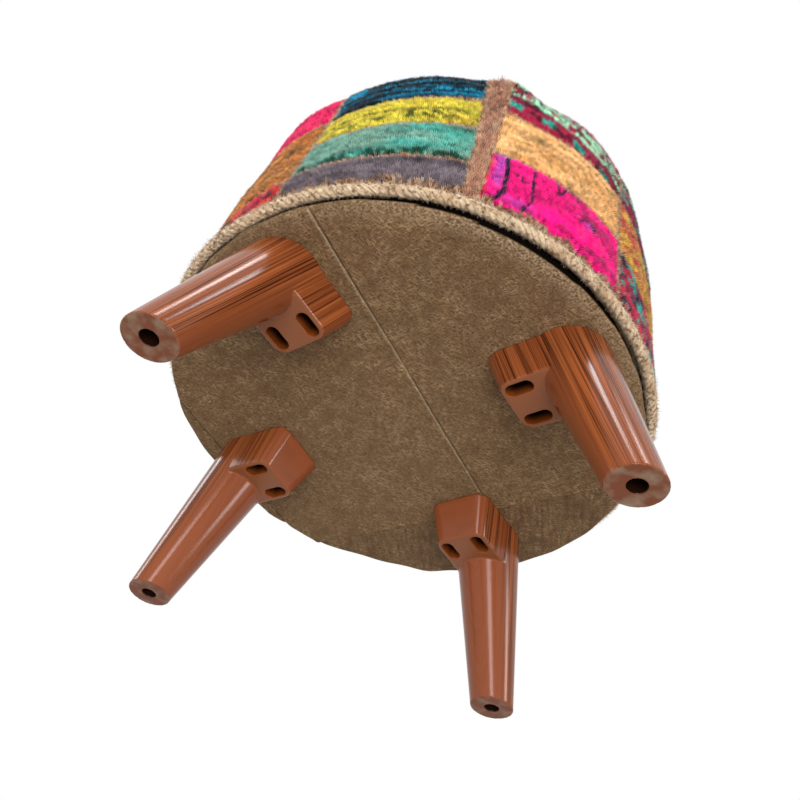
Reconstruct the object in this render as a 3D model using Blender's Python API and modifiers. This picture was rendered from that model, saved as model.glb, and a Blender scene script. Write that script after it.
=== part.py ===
"""Round pouf covered in patchwork carpet, standing on four splayed moulded legs.

Metres, +Z up, floor at z = 0, the pouf's axis on Z and its front towards -Y.
A drum of two boards, posts and a bent wall carries foam and a sewn carpet cover.
A cloth covered board closes the drum from below, with a rope laid round its rim,
and the legs are screwed through that board into the drum floor.
"""

import math

import bmesh
import bpy
from mathutils import Matrix, Vector

# Clearances between neighbours
SEAT_GAP = 0.0003
FOAM_GAP = 0.0005
SEAM_GAP = 0.0005
HOLE_CLEARANCE = 0.0003

# Legs: a cone that leans outwards, with a bracket that reaches in under the base
LEG_HEIGHT = 0.150
LEG_TOP_RADIUS = 0.0315
LEG_SPLAY = 0.0485
FOOT_RADIUS = 0.0186
FOOT_EDGE = 0.0012
FOOT_HOLE_RADIUS = 0.0062
FOOT_HOLE_DEPTH = 0.022
BRACKET_HEIGHT = 0.038
BRACKET_REACH = 0.061
BRACKET_CORNER = 0.013
BRACKET_END_DRAFT = 0.0145
BRACKET_SIDE_DRAFT = 0.0067
BRACKET_EDGE = 0.002
BRACKET_INSET = 0.0004
LEG_EDGE_DISTANCE = 0.0415
LEG_AZIMUTHS = {
    "front_left": 224.4,
    "front_right": 313.3,
    "back_right": 44.1,
    "back_left": 138.1,
}

# Screw slots in the bracket, and the screws in them
SLOT_LENGTH = 0.022
SLOT_SPACING = 0.0306
SLOT_INSET = 0.0145
SLOT_FLOOR = 0.008
SCREW_SHANK_RADIUS = 0.0022
SCREW_HEAD_RADIUS = 0.0045
SCREW_HEAD_HEIGHT = 0.003
SCREW_HEAD_EDGE = 0.001
SCREW_HEAD_TAPER = 0.0013
SCREW_HEAD_CLEARANCE = 0.00075
SCREW_POINT = 0.005
SCREW_LENGTH = 0.038

# Base: a board with cloth stretched over it and turned up round its edge
BASE_RADIUS = 0.2065
BASE_ROUND = 0.004
BASE_BOARD_THICKNESS = 0.015
CLOTH_THICKNESS = 0.0018
CLOTH_RIM_HEIGHT = 0.012

# Seams of the base cloth: the azimuth that each faces, and how far it lies from the axis or the rim
CENTRE_SEAM_AZIMUTH = -40.8
CENTRE_SEAM_OFFSET = 0.0344
BACK_SEAM_AZIMUTH = 48.3
BACK_SEAM_INSET = 0.0781
CORNER_SEAM_AZIMUTH = 137.9
CORNER_SEAM_INSET = 0.0157

# Rope round the rim
ROPE_RADIUS = 0.0047
ROPE_GAP = 0.0013
ROPE_LIFT = 0.0125

# Carpet cover
CARPET_THICKNESS = 0.008
COVER_CLEARANCE = 0.001
COVER_FLARE = 0.0035
SIDE_HEIGHT = 0.225
SHOULDER_RADIUS = 0.032
SHOULDER_SWEEP = 80.0
TOP_SEAM_ANGLE = 50.0
TOP_STRIP_WIDTH = 0.124
CHANNEL_WIDTH = 0.008
CHANNEL_DEPTH = 0.0025
BAND_WIDTH = 0.016
BAND_AZIMUTH = 269.6
BAND_RECESS = 0.0025

# Where each column's strips are sewn together, as shares of the side's height,
# counted anticlockwise from the band
COLUMN_SEAMS = (
    (0.41, 0.79),
    (0.38, 0.74),
    (0.30, 0.62),
    (0.25, 0.50, 0.78),
    (0.36, 0.70),
    (0.28, 0.58, 0.82),
    (0.33, 0.68),
    (0.18, 0.77),
    (0.22, 0.52, 0.79),
)

# Drum frame and padding
SIDE_FOAM_THICKNESS = 0.010
SEAT_FOAM_THICKNESS = 0.045
WALL_THICKNESS = 0.003
DRUM_FLOOR_THICKNESS = 0.015
SEAT_BOARD_THICKNESS = 0.015
POST_WIDTH = 0.040
POST_DEPTH = 0.030
POST_COUNT = 6
POST_EDGE_DISTANCE = 0.012

# Facets
TURN_SEGMENTS = 54
COLUMN_STEPS = 6
ROPE_SEGMENTS = 64
ROPE_SIDES = 8
LEG_SIDES = 36
CORNER_STEPS = 4
HOLE_SIDES = 12
FOOT_HOLE_SIDES = 16
SHARP_ANGLE = math.radians(35)
MERGE_DISTANCE = 0.00001

# Levels that follow from the sizes above
BASE_LEVEL = LEG_HEIGHT + SEAT_GAP
BOARD_LEVEL = BASE_LEVEL + CLOTH_THICKNESS + SEAT_GAP
FLOOR_LEVEL = BOARD_LEVEL + BASE_BOARD_THICKNESS + SEAT_GAP
POST_LEVEL = FLOOR_LEVEL + DRUM_FLOOR_THICKNESS + SEAT_GAP
ROPE_LEVEL = BASE_LEVEL + ROPE_LIFT
COVER_LEVEL = ROPE_LEVEL + ROPE_RADIUS + SEAT_GAP
SHOULDER_LEVEL = BASE_LEVEL + SIDE_HEIGHT

# Radii that follow from the sizes above
BOARD_RADIUS = BASE_RADIUS - CLOTH_THICKNESS - SEAT_GAP
ROPE_CIRCLE_RADIUS = BASE_RADIUS + ROPE_GAP + ROPE_RADIUS
COVER_RADIUS = BASE_RADIUS + COVER_CLEARANCE + CARPET_THICKNESS
SHOULDER_OUTER_RADIUS = COVER_RADIUS + COVER_FLARE
FOAM_DEPTH = CARPET_THICKNESS + FOAM_GAP
WALL_RADIUS = COVER_RADIUS - FOAM_DEPTH - SIDE_FOAM_THICKNESS - SEAT_GAP
FRAME_RADIUS = WALL_RADIUS - WALL_THICKNESS - SEAT_GAP
SCREW_HOLE_RADIUS = SCREW_SHANK_RADIUS + HOLE_CLEARANCE
LEG_TOP_CENTRE = BASE_RADIUS - LEG_EDGE_DISTANCE
FOOT_CIRCLE_RADIUS = LEG_TOP_CENTRE + LEG_SPLAY
SLOT_WIDTH = 2 * (SCREW_HEAD_RADIUS + SCREW_HEAD_CLEARANCE)
SLOT_CENTRE = LEG_TOP_CENTRE - BRACKET_REACH + BRACKET_END_DRAFT + SLOT_INSET
SLOT_SIDES = (-SLOT_SPACING / 2, SLOT_SPACING / 2)
CENTRE_SEAM = (CENTRE_SEAM_AZIMUTH, CENTRE_SEAM_OFFSET)
BACK_SEAM = (BACK_SEAM_AZIMUTH, BASE_RADIUS - BACK_SEAM_INSET)
CORNER_SEAM = (CORNER_SEAM_AZIMUTH, BASE_RADIUS - CORNER_SEAM_INSET)

# The crown carries on from the end of the shoulder's curve
SWEEP = math.radians(SHOULDER_SWEEP)
CROWN_RADIUS = SHOULDER_OUTER_RADIUS - SHOULDER_RADIUS * (1 - math.cos(SWEEP))
CROWN_LEVEL = SHOULDER_LEVEL + SHOULDER_RADIUS * math.sin(SWEEP)
CROWN_RISE = CROWN_RADIUS / math.tan(SWEEP) / 2
SEAT_BOARD_TOP = CROWN_LEVEL + CROWN_RISE - FOAM_DEPTH - SEAT_FOAM_THICKNESS - SEAT_GAP
SEAT_BOARD_LEVEL = SEAT_BOARD_TOP - SEAT_BOARD_THICKNESS

for old in list(bpy.data.objects):
    bpy.data.objects.remove(old)

parts = bpy.data.collections.new("carpet_pouf")
cutters = bpy.data.collections.new("cutters")
bpy.context.scene.collection.children.link(parts)
bpy.context.scene.collection.children.link(cutters)


def finish(name, colour, roughness, metallic=0.0):
    """A material of one colour for one kind of piece."""
    made = bpy.data.materials.new(name)
    made.use_nodes = True
    shader = made.node_tree.nodes["Principled BSDF"]
    shader.inputs["Base Color"].default_value = (*colour, 1.0)
    shader.inputs["Roughness"].default_value = roughness
    shader.inputs["Metallic"].default_value = metallic
    return made


def add_part(name, mesh, material):
    """One named piece of the pouf, shaded smooth between its sharp edges."""
    mesh.materials.clear()
    mesh.materials.append(material)
    mesh.shade_smooth()
    mesh.set_sharp_from_angle(angle=SHARP_ANGLE)
    piece = bpy.data.objects.new(name, mesh)
    parts.objects.link(piece)
    return piece


def add_cutter(name, mesh):
    """A hidden solid that cuts or joins others."""
    tool = bpy.data.objects.new(name, mesh)
    cutters.objects.link(tool)
    tool.hide_render = True
    tool.display_type = "WIRE"
    return tool


def to_mesh(name, shape):
    """A mesh from a bmesh, which is freed."""
    bmesh.ops.recalc_face_normals(shape, faces=shape.faces)
    mesh = bpy.data.meshes.new(name)
    shape.to_mesh(mesh)
    shape.free()
    return mesh


def loft(shape, rings):
    """A closed skin through rings of equally many points, with flat ends."""
    rows = [[shape.verts.new(point) for point in ring] for ring in rings]
    count = len(rows[0])
    for low, high in zip(rows, rows[1:]):
        for i in range(count):
            j = (i + 1) % count
            shape.faces.new((low[i], low[j], high[j], high[i]))
    shape.faces.new(rows[0][::-1])
    shape.faces.new(rows[-1])


def turned_mesh(name, profile, segments=TURN_SEGMENTS, closed=False):
    """A profile of (radius, height) points turned about Z, outer side listed downwards."""
    outline = bpy.data.meshes.new(name)
    edges = [(i, i + 1) for i in range(len(profile) - 1)]
    if closed:
        edges.append((len(profile) - 1, 0))
    outline.from_pydata([(radius, 0.0, height) for radius, height in profile], edges, [])
    lathe = bpy.data.objects.new(name, outline)
    cutters.objects.link(lathe)
    turn = lathe.modifiers.new("turn", "SCREW")
    turn.axis = "Z"
    turn.steps = segments
    turn.render_steps = segments
    turn.use_merge_vertices = True
    turn.merge_threshold = MERGE_DISTANCE
    mesh = evaluated_mesh(lathe)
    mesh.name = name
    bpy.data.objects.remove(lathe)
    return mesh


def evaluated_mesh(thing):
    """The mesh that an object's modifiers give."""
    graph = bpy.context.evaluated_depsgraph_get()
    return bpy.data.meshes.new_from_object(thing.evaluated_get(graph))


def boolean(piece, tool, operation):
    """Cuts a tool out of a piece, or joins it on."""
    step = piece.modifiers.new(tool.name, "BOOLEAN")
    step.object = tool
    step.operation = operation
    step.solver = "EXACT"


def cylinder(shape, centre, radius, low, high, sides):
    """An upright cylinder added to a bmesh."""
    place = Matrix.Translation((centre[0], centre[1], (low + high) / 2))
    bmesh.ops.create_cone(
        shape,
        cap_ends=True,
        segments=sides,
        radius1=radius,
        radius2=radius,
        depth=high - low,
        matrix=place,
    )


def around(azimuth, radius, sideways=0.0):
    """The plan position of a point given along and across a leg's direction."""
    turn = math.radians(azimuth)
    x = radius * math.cos(turn) - sideways * math.sin(turn)
    y = radius * math.sin(turn) + sideways * math.cos(turn)
    return x, y


# Outline of the cover, as points with a depth below its surface


def wall_point(share, depth):
    """On the flared side, share 0 at the lower edge and 1 at the shoulder."""
    height = SHOULDER_LEVEL - COVER_LEVEL
    slope = math.atan(2 * COVER_FLARE * share / height)
    radius = COVER_RADIUS + COVER_FLARE * share**2 - depth * math.cos(slope)
    return radius, COVER_LEVEL + share * height + depth * math.sin(slope)


def shoulder_point(angle, depth):
    """On the rounded shoulder, angle 0 at the side."""
    bend = SHOULDER_RADIUS - depth
    centre = SHOULDER_OUTER_RADIUS - SHOULDER_RADIUS
    return centre + bend * math.cos(angle), SHOULDER_LEVEL + bend * math.sin(angle)


def crown_point(share, depth):
    """On the crown, share 0 at the middle and 1 at the end of the shoulder."""
    slope = math.atan(2 * CROWN_RISE * share / CROWN_RADIUS)
    radius = CROWN_RADIUS * share - depth * math.sin(slope)
    return radius, CROWN_LEVEL + CROWN_RISE * (1 - share**2) - depth * math.cos(slope)


def spread(start, end, count):
    """Evenly spaced values, both ends included."""
    return [start + (end - start) * i / (count - 1) for i in range(count)]


# Legs


def cone_centre(height):
    return FOOT_CIRCLE_RADIUS - LEG_SPLAY * height / LEG_HEIGHT


def leg_cone():
    """The leaning cone, cut level at its foot and top, with an eased foot edge."""
    shape = bmesh.new()
    bmesh.ops.create_cone(
        shape,
        cap_ends=True,
        segments=LEG_SIDES,
        radius1=FOOT_RADIUS,
        radius2=LEG_TOP_RADIUS,
        depth=LEG_HEIGHT,
        matrix=Matrix.Translation((0, 0, LEG_HEIGHT / 2)),
    )
    rim = [e for e in shape.edges if all(v.co.z < LEG_HEIGHT / 2 for v in e.verts)]
    bmesh.ops.bevel(shape, geom=rim, offset=FOOT_EDGE, segments=2, affect="EDGES", profile=0.5)
    for vert in shape.verts:
        vert.co.x += cone_centre(vert.co.z)
    return to_mesh("leg_cone", shape)


def bracket_ring(height, inset):
    """The bracket's outline at a height, narrower further down, with two rounded inner corners."""
    drop = (LEG_HEIGHT - height) / BRACKET_HEIGHT
    inner = LEG_TOP_CENTRE - BRACKET_REACH + BRACKET_END_DRAFT * drop + inset
    half = LEG_TOP_RADIUS - BRACKET_INSET - BRACKET_SIDE_DRAFT * drop - inset
    corner = BRACKET_CORNER - inset
    points = [(cone_centre(height), -half)]
    for turn in spread(0, math.pi / 2, CORNER_STEPS + 1):
        points.append((inner + corner - corner * math.sin(turn), corner - half - corner * math.cos(turn)))
    points += [(x, -y) for x, y in reversed(points)]
    return [(x, y, height) for x, y in points]


def leg_bracket():
    """The block that the screws go through, tapering down to an eased lower edge."""
    shape = bmesh.new()
    lower = LEG_HEIGHT - BRACKET_HEIGHT
    rings = [bracket_ring(LEG_HEIGHT, 0.0)]
    for turn in spread(0, math.pi / 2, 3):
        level = lower + BRACKET_EDGE * (1 - math.sin(turn))
        rings.append(bracket_ring(level, BRACKET_EDGE * (1 - math.cos(turn))))
    loft(shape, rings[::-1])
    return to_mesh("leg_bracket", shape)


def slot_ring(sideways, height):
    """A slot's outline, long in the leg's direction with round ends."""
    half = (SLOT_LENGTH - SLOT_WIDTH) / 2
    points = []
    for end in (1, -1):
        for turn in spread(-math.pi / 2, math.pi / 2, HOLE_SIDES // 2 + 1):
            x = SLOT_CENTRE + end * (half + SLOT_WIDTH / 2 * math.cos(turn))
            points.append((x, sideways + end * SLOT_WIDTH / 2 * math.sin(turn), height))
    return points


def leg_cuts():
    """Both slots and the hole in the foot."""
    shape = bmesh.new()
    mouth = LEG_HEIGHT - BRACKET_HEIGHT - SLOT_FLOOR
    for side in SLOT_SIDES:
        loft(shape, [slot_ring(side, mouth), slot_ring(side, LEG_HEIGHT - SLOT_FLOOR)])
    foot = (FOOT_CIRCLE_RADIUS, 0.0)
    cylinder(shape, foot, FOOT_HOLE_RADIUS, -FOOT_HOLE_DEPTH, FOOT_HOLE_DEPTH, FOOT_HOLE_SIDES)
    return to_mesh("leg_cuts", shape)


def leg_screw_holes():
    """The holes that the screws pass through in the slots' floors."""
    shape = bmesh.new()
    low = LEG_HEIGHT - 2 * SLOT_FLOOR
    for side in SLOT_SIDES:
        cylinder(shape, (SLOT_CENTRE, side), SCREW_HOLE_RADIUS, low, LEG_HEIGHT + SLOT_FLOOR, HOLE_SIDES)
    return to_mesh("leg_screw_holes", shape)


def leg_mesh():
    """One leg, standing in the +X direction."""
    blank = add_cutter("leg_cone", leg_cone())
    boolean(blank, add_cutter("leg_bracket", leg_bracket()), "UNION")
    boolean(blank, add_cutter("leg_cuts", leg_cuts()), "DIFFERENCE")
    boolean(blank, add_cutter("leg_screw_holes", leg_screw_holes()), "DIFFERENCE")
    mesh = evaluated_mesh(blank)
    mesh.name = "leg"
    return mesh


def screw_mesh():
    """A pan head wood screw, point up, with its seat at z = 0."""
    tip = SCREW_LENGTH
    profile = [
        (0.0, tip),
        (SCREW_SHANK_RADIUS, tip - SCREW_POINT),
        (SCREW_SHANK_RADIUS, 0.0),
        (SCREW_HEAD_RADIUS, 0.0),
        (SCREW_HEAD_RADIUS, -SCREW_HEAD_EDGE),
        (SCREW_HEAD_RADIUS - SCREW_HEAD_TAPER, -SCREW_HEAD_HEIGHT),
        (0.0, -SCREW_HEAD_HEIGHT),
    ]
    return turned_mesh("leg_screw", profile, HOLE_SIDES)


moulded_plastic = finish("moulded_plastic", (0.27, 0.085, 0.035), 0.22)
zinc_steel = finish("zinc_steel", (0.55, 0.53, 0.48), 0.35, 1.0)
shared_leg = leg_mesh()
shared_screw = screw_mesh()
screw_seat = LEG_HEIGHT - SLOT_FLOOR - SEAT_GAP
for corner, azimuth in LEG_AZIMUTHS.items():
    leg = add_part(f"leg_{corner}", shared_leg, moulded_plastic)
    leg.rotation_euler.z = math.radians(azimuth)
    for label, side in zip("ab", SLOT_SIDES):
        screw = add_part(f"leg_screw_{corner}_{label}", shared_screw, zinc_steel)
        screw.location = (*around(azimuth, SLOT_CENTRE, side), screw_seat)

# Base board and drum floor, both drilled for the leg screws


def screw_hole_cutter():
    """One cylinder for each leg screw, through everything above the legs."""
    shape = bmesh.new()
    for azimuth in LEG_AZIMUTHS.values():
        for side in SLOT_SIDES:
            place = around(azimuth, SLOT_CENTRE, side)
            cylinder(shape, place, SCREW_HOLE_RADIUS, LEG_HEIGHT / 2, POST_LEVEL, HOLE_SIDES)
    return add_cutter("screw_holes", to_mesh("screw_holes", shape))


def board_profile():
    """A disc whose lower edge is rounded to suit the cloth."""
    bend = BASE_ROUND - CLOTH_THICKNESS
    top = BOARD_LEVEL + BASE_BOARD_THICKNESS
    points = [(0.0, top), (BOARD_RADIUS, top)]
    for turn in spread(0, math.pi / 2, 3):
        radius = BOARD_RADIUS - bend * (1 - math.cos(turn))
        points.append((radius, BOARD_LEVEL + bend * (1 - math.sin(turn))))
    return [*points, (0.0, BOARD_LEVEL)]


def disc_profile(radius, low, thickness):
    return [(0.0, low + thickness), (radius, low + thickness), (radius, low), (0.0, low)]


plywood = finish("plywood", (0.55, 0.40, 0.24), 0.65)
chipboard = finish("chipboard", (0.48, 0.35, 0.21), 0.75)
screw_holes = screw_hole_cutter()
base_board = add_part("base_board", turned_mesh("base_board", board_profile()), plywood)
floor_profile = disc_profile(FRAME_RADIUS, FLOOR_LEVEL, DRUM_FLOOR_THICKNESS)
drum_floor = add_part("drum_floor", turned_mesh("drum_floor", floor_profile), chipboard)
boolean(base_board, screw_holes, "DIFFERENCE")
boolean(drum_floor, screw_holes, "DIFFERENCE")

# Base cloth, cut along its seams


def cloth_profile():
    """A sheet under the board, with its edge turned up round the board's rim."""
    points = [(0.0, BASE_LEVEL + CLOTH_THICKNESS)]
    inner = BASE_ROUND - CLOTH_THICKNESS
    centre = BASE_RADIUS - BASE_ROUND
    for turn in spread(math.pi / 2, 0, 3):
        points.append((centre + inner * math.cos(turn), BASE_LEVEL + BASE_ROUND - inner * math.sin(turn)))
    rim = BASE_LEVEL + CLOTH_RIM_HEIGHT
    points += [(BASE_RADIUS - CLOTH_THICKNESS, rim), (BASE_RADIUS, rim)]
    for turn in spread(0, math.pi / 2, 3):
        points.append(
            (centre + BASE_ROUND * math.cos(turn), BASE_LEVEL + BASE_ROUND - BASE_ROUND * math.sin(turn))
        )
    return [*points, (0.0, BASE_LEVEL)]


def sliced(mesh, name, cuts):
    """The part of a mesh behind every cut, each an (azimuth, distance, side) of an upright plane."""
    shape = bmesh.new()
    shape.from_mesh(mesh)
    for azimuth, distance, side in cuts:
        facing = Vector((*around(azimuth, 1.0), 0.0))
        bmesh.ops.bisect_plane(
            shape,
            geom=[*shape.verts, *shape.edges, *shape.faces],
            plane_co=facing * (distance - side * SEAM_GAP / 2),
            plane_no=facing * side,
            clear_outer=True,
        )
        rim = [edge for edge in shape.edges if edge.is_boundary]
        bmesh.ops.holes_fill(shape, edges=rim, sides=0)
    return to_mesh(name, shape)


velvet = finish("velvet", (0.15, 0.105, 0.065), 0.9)
whole_cloth = turned_mesh("whole_cloth", cloth_profile())
cloth_pieces = {
    "base_cloth_back": [(*BACK_SEAM, -1)],
    "base_cloth_corner": [(*CORNER_SEAM, -1)],
    "base_cloth_left": [(*CENTRE_SEAM, 1), (*BACK_SEAM, 1), (*CORNER_SEAM, 1)],
    "base_cloth_right": [(*CENTRE_SEAM, -1), (*BACK_SEAM, 1)],
}
for name, cuts in cloth_pieces.items():
    boolean(add_part(name, sliced(whole_cloth, name, cuts), velvet), screw_holes, "DIFFERENCE")

# Rope laid round the rim

jute = finish("jute", (0.36, 0.25, 0.13), 0.95)
rope_profile = []
for turn in spread(math.pi / 2, math.pi / 2 - 2 * math.pi, ROPE_SIDES + 1)[:-1]:
    across = ROPE_CIRCLE_RADIUS + ROPE_RADIUS * math.cos(turn)
    rope_profile.append((across, ROPE_LEVEL + ROPE_RADIUS * math.sin(turn)))
add_part("rim_rope", turned_mesh("rim_rope", rope_profile, ROPE_SEGMENTS, closed=True), jute)

# Drum: posts between the boards, with a bent wall round them

pine = finish("pine", (0.62, 0.45, 0.26), 0.6)
hardboard = finish("hardboard", (0.23, 0.14, 0.08), 0.7)
seat_profile = disc_profile(FRAME_RADIUS, SEAT_BOARD_LEVEL, SEAT_BOARD_THICKNESS)
add_part("seat_board", turned_mesh("seat_board", seat_profile), chipboard)


def post_mesh():
    """A square sawn post, standing on z = 0."""
    shape = bmesh.new()
    bmesh.ops.create_cube(shape, size=1.0)
    height = SEAT_BOARD_LEVEL - SEAT_GAP - POST_LEVEL
    bmesh.ops.scale(shape, vec=(POST_DEPTH, POST_WIDTH, height), verts=shape.verts)
    bmesh.ops.translate(shape, vec=(0, 0, height / 2), verts=shape.verts)
    return to_mesh("frame_post", shape)


shared_post = post_mesh()
for number in range(POST_COUNT):
    azimuth = 360 / POST_COUNT * number
    post = add_part(f"frame_post_{number + 1}", shared_post, pine)
    post.location = (*around(azimuth, FRAME_RADIUS - POST_EDGE_DISTANCE - POST_DEPTH / 2), POST_LEVEL)
    post.rotation_euler.z = math.radians(azimuth)

wall_inner = WALL_RADIUS - WALL_THICKNESS
wall_profile = [
    (WALL_RADIUS, SEAT_BOARD_TOP),
    (WALL_RADIUS, FLOOR_LEVEL),
    (wall_inner, FLOOR_LEVEL),
    (wall_inner, SEAT_BOARD_TOP),
]
add_part("drum_wall", turned_mesh("drum_wall", wall_profile, closed=True), hardboard)

# Foam under the cover, round the drum and crowned on top


def wall_share(level):
    """The share of the side's height at a level."""
    return (level - COVER_LEVEL) / (SHOULDER_LEVEL - COVER_LEVEL)


foam = finish("foam", (0.80, 0.74, 0.50), 0.9)
side_levels = spread(SEAT_BOARD_TOP, FLOOR_LEVEL, 4)
foam_inner = WALL_RADIUS + SEAT_GAP
side_foam_profile = [(wall_point(wall_share(level), FOAM_DEPTH)[0], level) for level in side_levels]
side_foam_profile += [(foam_inner, FLOOR_LEVEL), (foam_inner, SEAT_BOARD_TOP)]
add_part("side_foam", turned_mesh("side_foam", side_foam_profile, closed=True), foam)

seat_foam_level = SEAT_BOARD_TOP + SEAT_GAP
seat_foam_profile = [crown_point(share, FOAM_DEPTH) for share in spread(0, 1, 5)]
seat_foam_profile += [shoulder_point(angle, FOAM_DEPTH) for angle in spread(SWEEP, 0, 5)[1:]]
seat_foam_profile.append((wall_point(wall_share(seat_foam_level), FOAM_DEPTH)[0], seat_foam_level))
seat_foam_profile.append((0.0, seat_foam_level))
add_part("seat_foam", turned_mesh("seat_foam", seat_foam_profile), foam)

# Carpet cover: columns of strips round the side, a band that closes them, and strips on top

TOP_SEAM = math.radians(TOP_SEAM_ANGLE)
HALF_SEAM = SEAM_GAP / 2 / SHOULDER_RADIUS


def column_outline(seams, recess):
    """A column's section: its outer face downwards, dipping at each seam, then its back upwards."""
    bends = spread(TOP_SEAM - HALF_SEAM, 0, 4)
    half = CHANNEL_WIDTH / 2 / (SHOULDER_LEVEL - COVER_LEVEL)
    points = [shoulder_point(angle, recess) for angle in bends]
    for seam in reversed(seams):
        points.append(wall_point(seam + half, recess))
        points.append(wall_point(seam, recess + CHANNEL_DEPTH))
        points.append(wall_point(seam - half, recess))
    points.append(wall_point(0.0, recess))
    points += [wall_point(share, CARPET_THICKNESS) for share in (0.0, 0.5)]
    points += [shoulder_point(angle, CARPET_THICKNESS) for angle in reversed(bends)]
    return points


def sector_mesh(name, outline, start, end, steps):
    """A section swept round the axis from one azimuth to another, in degrees."""
    shape = bmesh.new()
    rings = []
    for azimuth in spread(start, end, steps + 1):
        rings.append([(*around(azimuth, radius), height) for radius, height in outline])
    loft(shape, rings)
    return to_mesh(name, shape)


pile_colours = (
    (0.62, 0.012, 0.21),
    (0.50, 0.30, 0.05),
    (0.06, 0.18, 0.26),
    (0.40, 0.05, 0.06),
    (0.17, 0.30, 0.24),
    (0.45, 0.16, 0.05),
    (0.20, 0.08, 0.22),
    (0.55, 0.20, 0.06),
    (0.13, 0.42, 0.36),
)
band_angle = math.degrees(BAND_WIDTH / COVER_RADIUS)
gap_angle = math.degrees(SEAM_GAP / 2 / COVER_RADIUS)
column_angle = (360 - band_angle) / len(COLUMN_SEAMS)
for number, (seams, colour) in enumerate(zip(COLUMN_SEAMS, pile_colours), 1):
    name = f"side_carpet_{number}"
    start = BAND_AZIMUTH + band_angle / 2 + column_angle * (number - 1)
    outline = column_outline(seams, 0.0)
    mesh = sector_mesh(name, outline, start + gap_angle, start + column_angle - gap_angle, COLUMN_STEPS)
    add_part(name, mesh, finish(f"pile_{number}", colour, 0.95))

band_start = BAND_AZIMUTH - band_angle / 2 + gap_angle
band_outline = column_outline((), BAND_RECESS)
band_mesh = sector_mesh("closing_band", band_outline, band_start, band_start + band_angle - 2 * gap_angle, 1)
add_part("closing_band", band_mesh, jute)

top_profile = [crown_point(share, 0.0) for share in spread(0, 1, 5)]
top_bends = spread(SWEEP, TOP_SEAM + HALF_SEAM, 3)
top_profile += [shoulder_point(angle, 0.0) for angle in top_bends[1:]]
top_profile += [shoulder_point(angle, CARPET_THICKNESS) for angle in reversed(top_bends)]
top_profile += [crown_point(share, CARPET_THICKNESS) for share in spread(1, 0, 5)[1:]]
whole_top = turned_mesh("whole_top", top_profile)
half_strip = TOP_STRIP_WIDTH / 2
top_strips = {
    "top_carpet_left": ([(180.0, half_strip, -1)], (0.16, 0.10, 0.30)),
    "top_carpet_middle": ([(0.0, half_strip, 1), (180.0, half_strip, 1)], (0.55, 0.03, 0.10)),
    "top_carpet_right": ([(0.0, half_strip, -1)], (0.10, 0.30, 0.32)),
}
for name, (cuts, colour) in top_strips.items():
    add_part(name, sliced(whole_top, name, cuts), finish(name, colour, 0.95))
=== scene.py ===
"""A round pouf covered in patchwork carpet, seen from below, on four moulded legs."""
import math
from functools import partial

import bmesh
import bpy
import numpy as np
from mathutils import Matrix, Vector


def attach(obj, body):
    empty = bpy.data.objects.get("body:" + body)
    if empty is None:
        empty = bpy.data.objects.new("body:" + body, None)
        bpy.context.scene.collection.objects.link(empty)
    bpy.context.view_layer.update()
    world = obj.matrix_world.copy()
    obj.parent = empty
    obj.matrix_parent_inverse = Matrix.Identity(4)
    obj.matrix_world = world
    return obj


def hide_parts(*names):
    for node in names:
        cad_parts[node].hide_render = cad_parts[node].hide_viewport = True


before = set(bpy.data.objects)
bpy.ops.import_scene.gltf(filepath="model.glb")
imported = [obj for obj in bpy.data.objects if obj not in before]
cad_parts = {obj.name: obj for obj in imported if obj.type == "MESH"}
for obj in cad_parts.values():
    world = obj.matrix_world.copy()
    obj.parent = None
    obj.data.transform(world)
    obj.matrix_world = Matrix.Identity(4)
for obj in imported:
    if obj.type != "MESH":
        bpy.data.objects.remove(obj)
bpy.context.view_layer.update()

# Drum frame: chipboard discs, sawn pine posts and a bent hardboard wall, glued and nailed,
# with a plywood disc under them that carries the legs. All of it is raw timber under the cover.


def linear(colour):
    """An sRGB hex colour as linear red, green and blue."""
    parts = [int(colour[i:i + 2], 16) / 255 for i in (1, 3, 5)]
    return np.array([p / 12.92 if p <= 0.04045 else ((p + 0.055) / 1.055) ** 2.4 for p in parts])


def fill(node, inputs):
    """Gives a node's inputs their values, sRGB hex colours, or links from other nodes or sockets."""
    for socket, value in inputs.items():
        if isinstance(value, bpy.types.Node):
            value = value.outputs[0]
        if isinstance(value, bpy.types.NodeSocket):
            node.id_data.links.new(value, node.inputs[socket])
        elif isinstance(value, str) and value.startswith("#"):
            node.inputs[socket].default_value = (*linear(value), 1)
        else:
            node.inputs[socket].default_value = value


def add_node(tree, kind, inputs=None, **settings):
    """Adds a node to a tree, with its settings and links."""
    node = tree.nodes.new(kind)
    for name, value in settings.items():
        setattr(node, name, value)
    fill(node, inputs or {})
    return node


def painted(add, colour, *layers):
    """A colour under layers of other colours, each with its share."""
    for share, other in layers:
        colour = add("ShaderNodeMix", {0: share, 6: colour, 7: other}, data_type="RGBA").outputs[2]
    return colour


def new_material(name, **constants):
    """A material, the function that adds nodes to its tree, and its shader with these constants."""
    made = bpy.data.materials.new(name)
    made.use_nodes = True
    shader = made.node_tree.nodes["Principled BSDF"]
    fill(shader, {socket.replace("_", " "): value for socket, value in constants.items()})
    return made, partial(add_node, made.node_tree), shader


def raw_timber(name, pale, dark, grain, depth):
    """Sawn or pressed timber, its figure as long as grain says along X, Y and Z, in metres."""
    made, add, shader = new_material(name, Roughness=0.72)
    place = add("ShaderNodeTexCoord").outputs["Object"]
    figure = add("ShaderNodeMapping", {"Vector": place, "Scale": [1 / size for size in grain]})
    tone = add("ShaderNodeTexNoise", {"Vector": figure, "Scale": 1.0, "Detail": 4.0})
    bump = add("ShaderNodeBump", {"Height": tone, "Distance": depth})
    fill(shader, {"Base Color": painted(add, pale, (tone, dark)), "Normal": bump})
    return made


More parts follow.
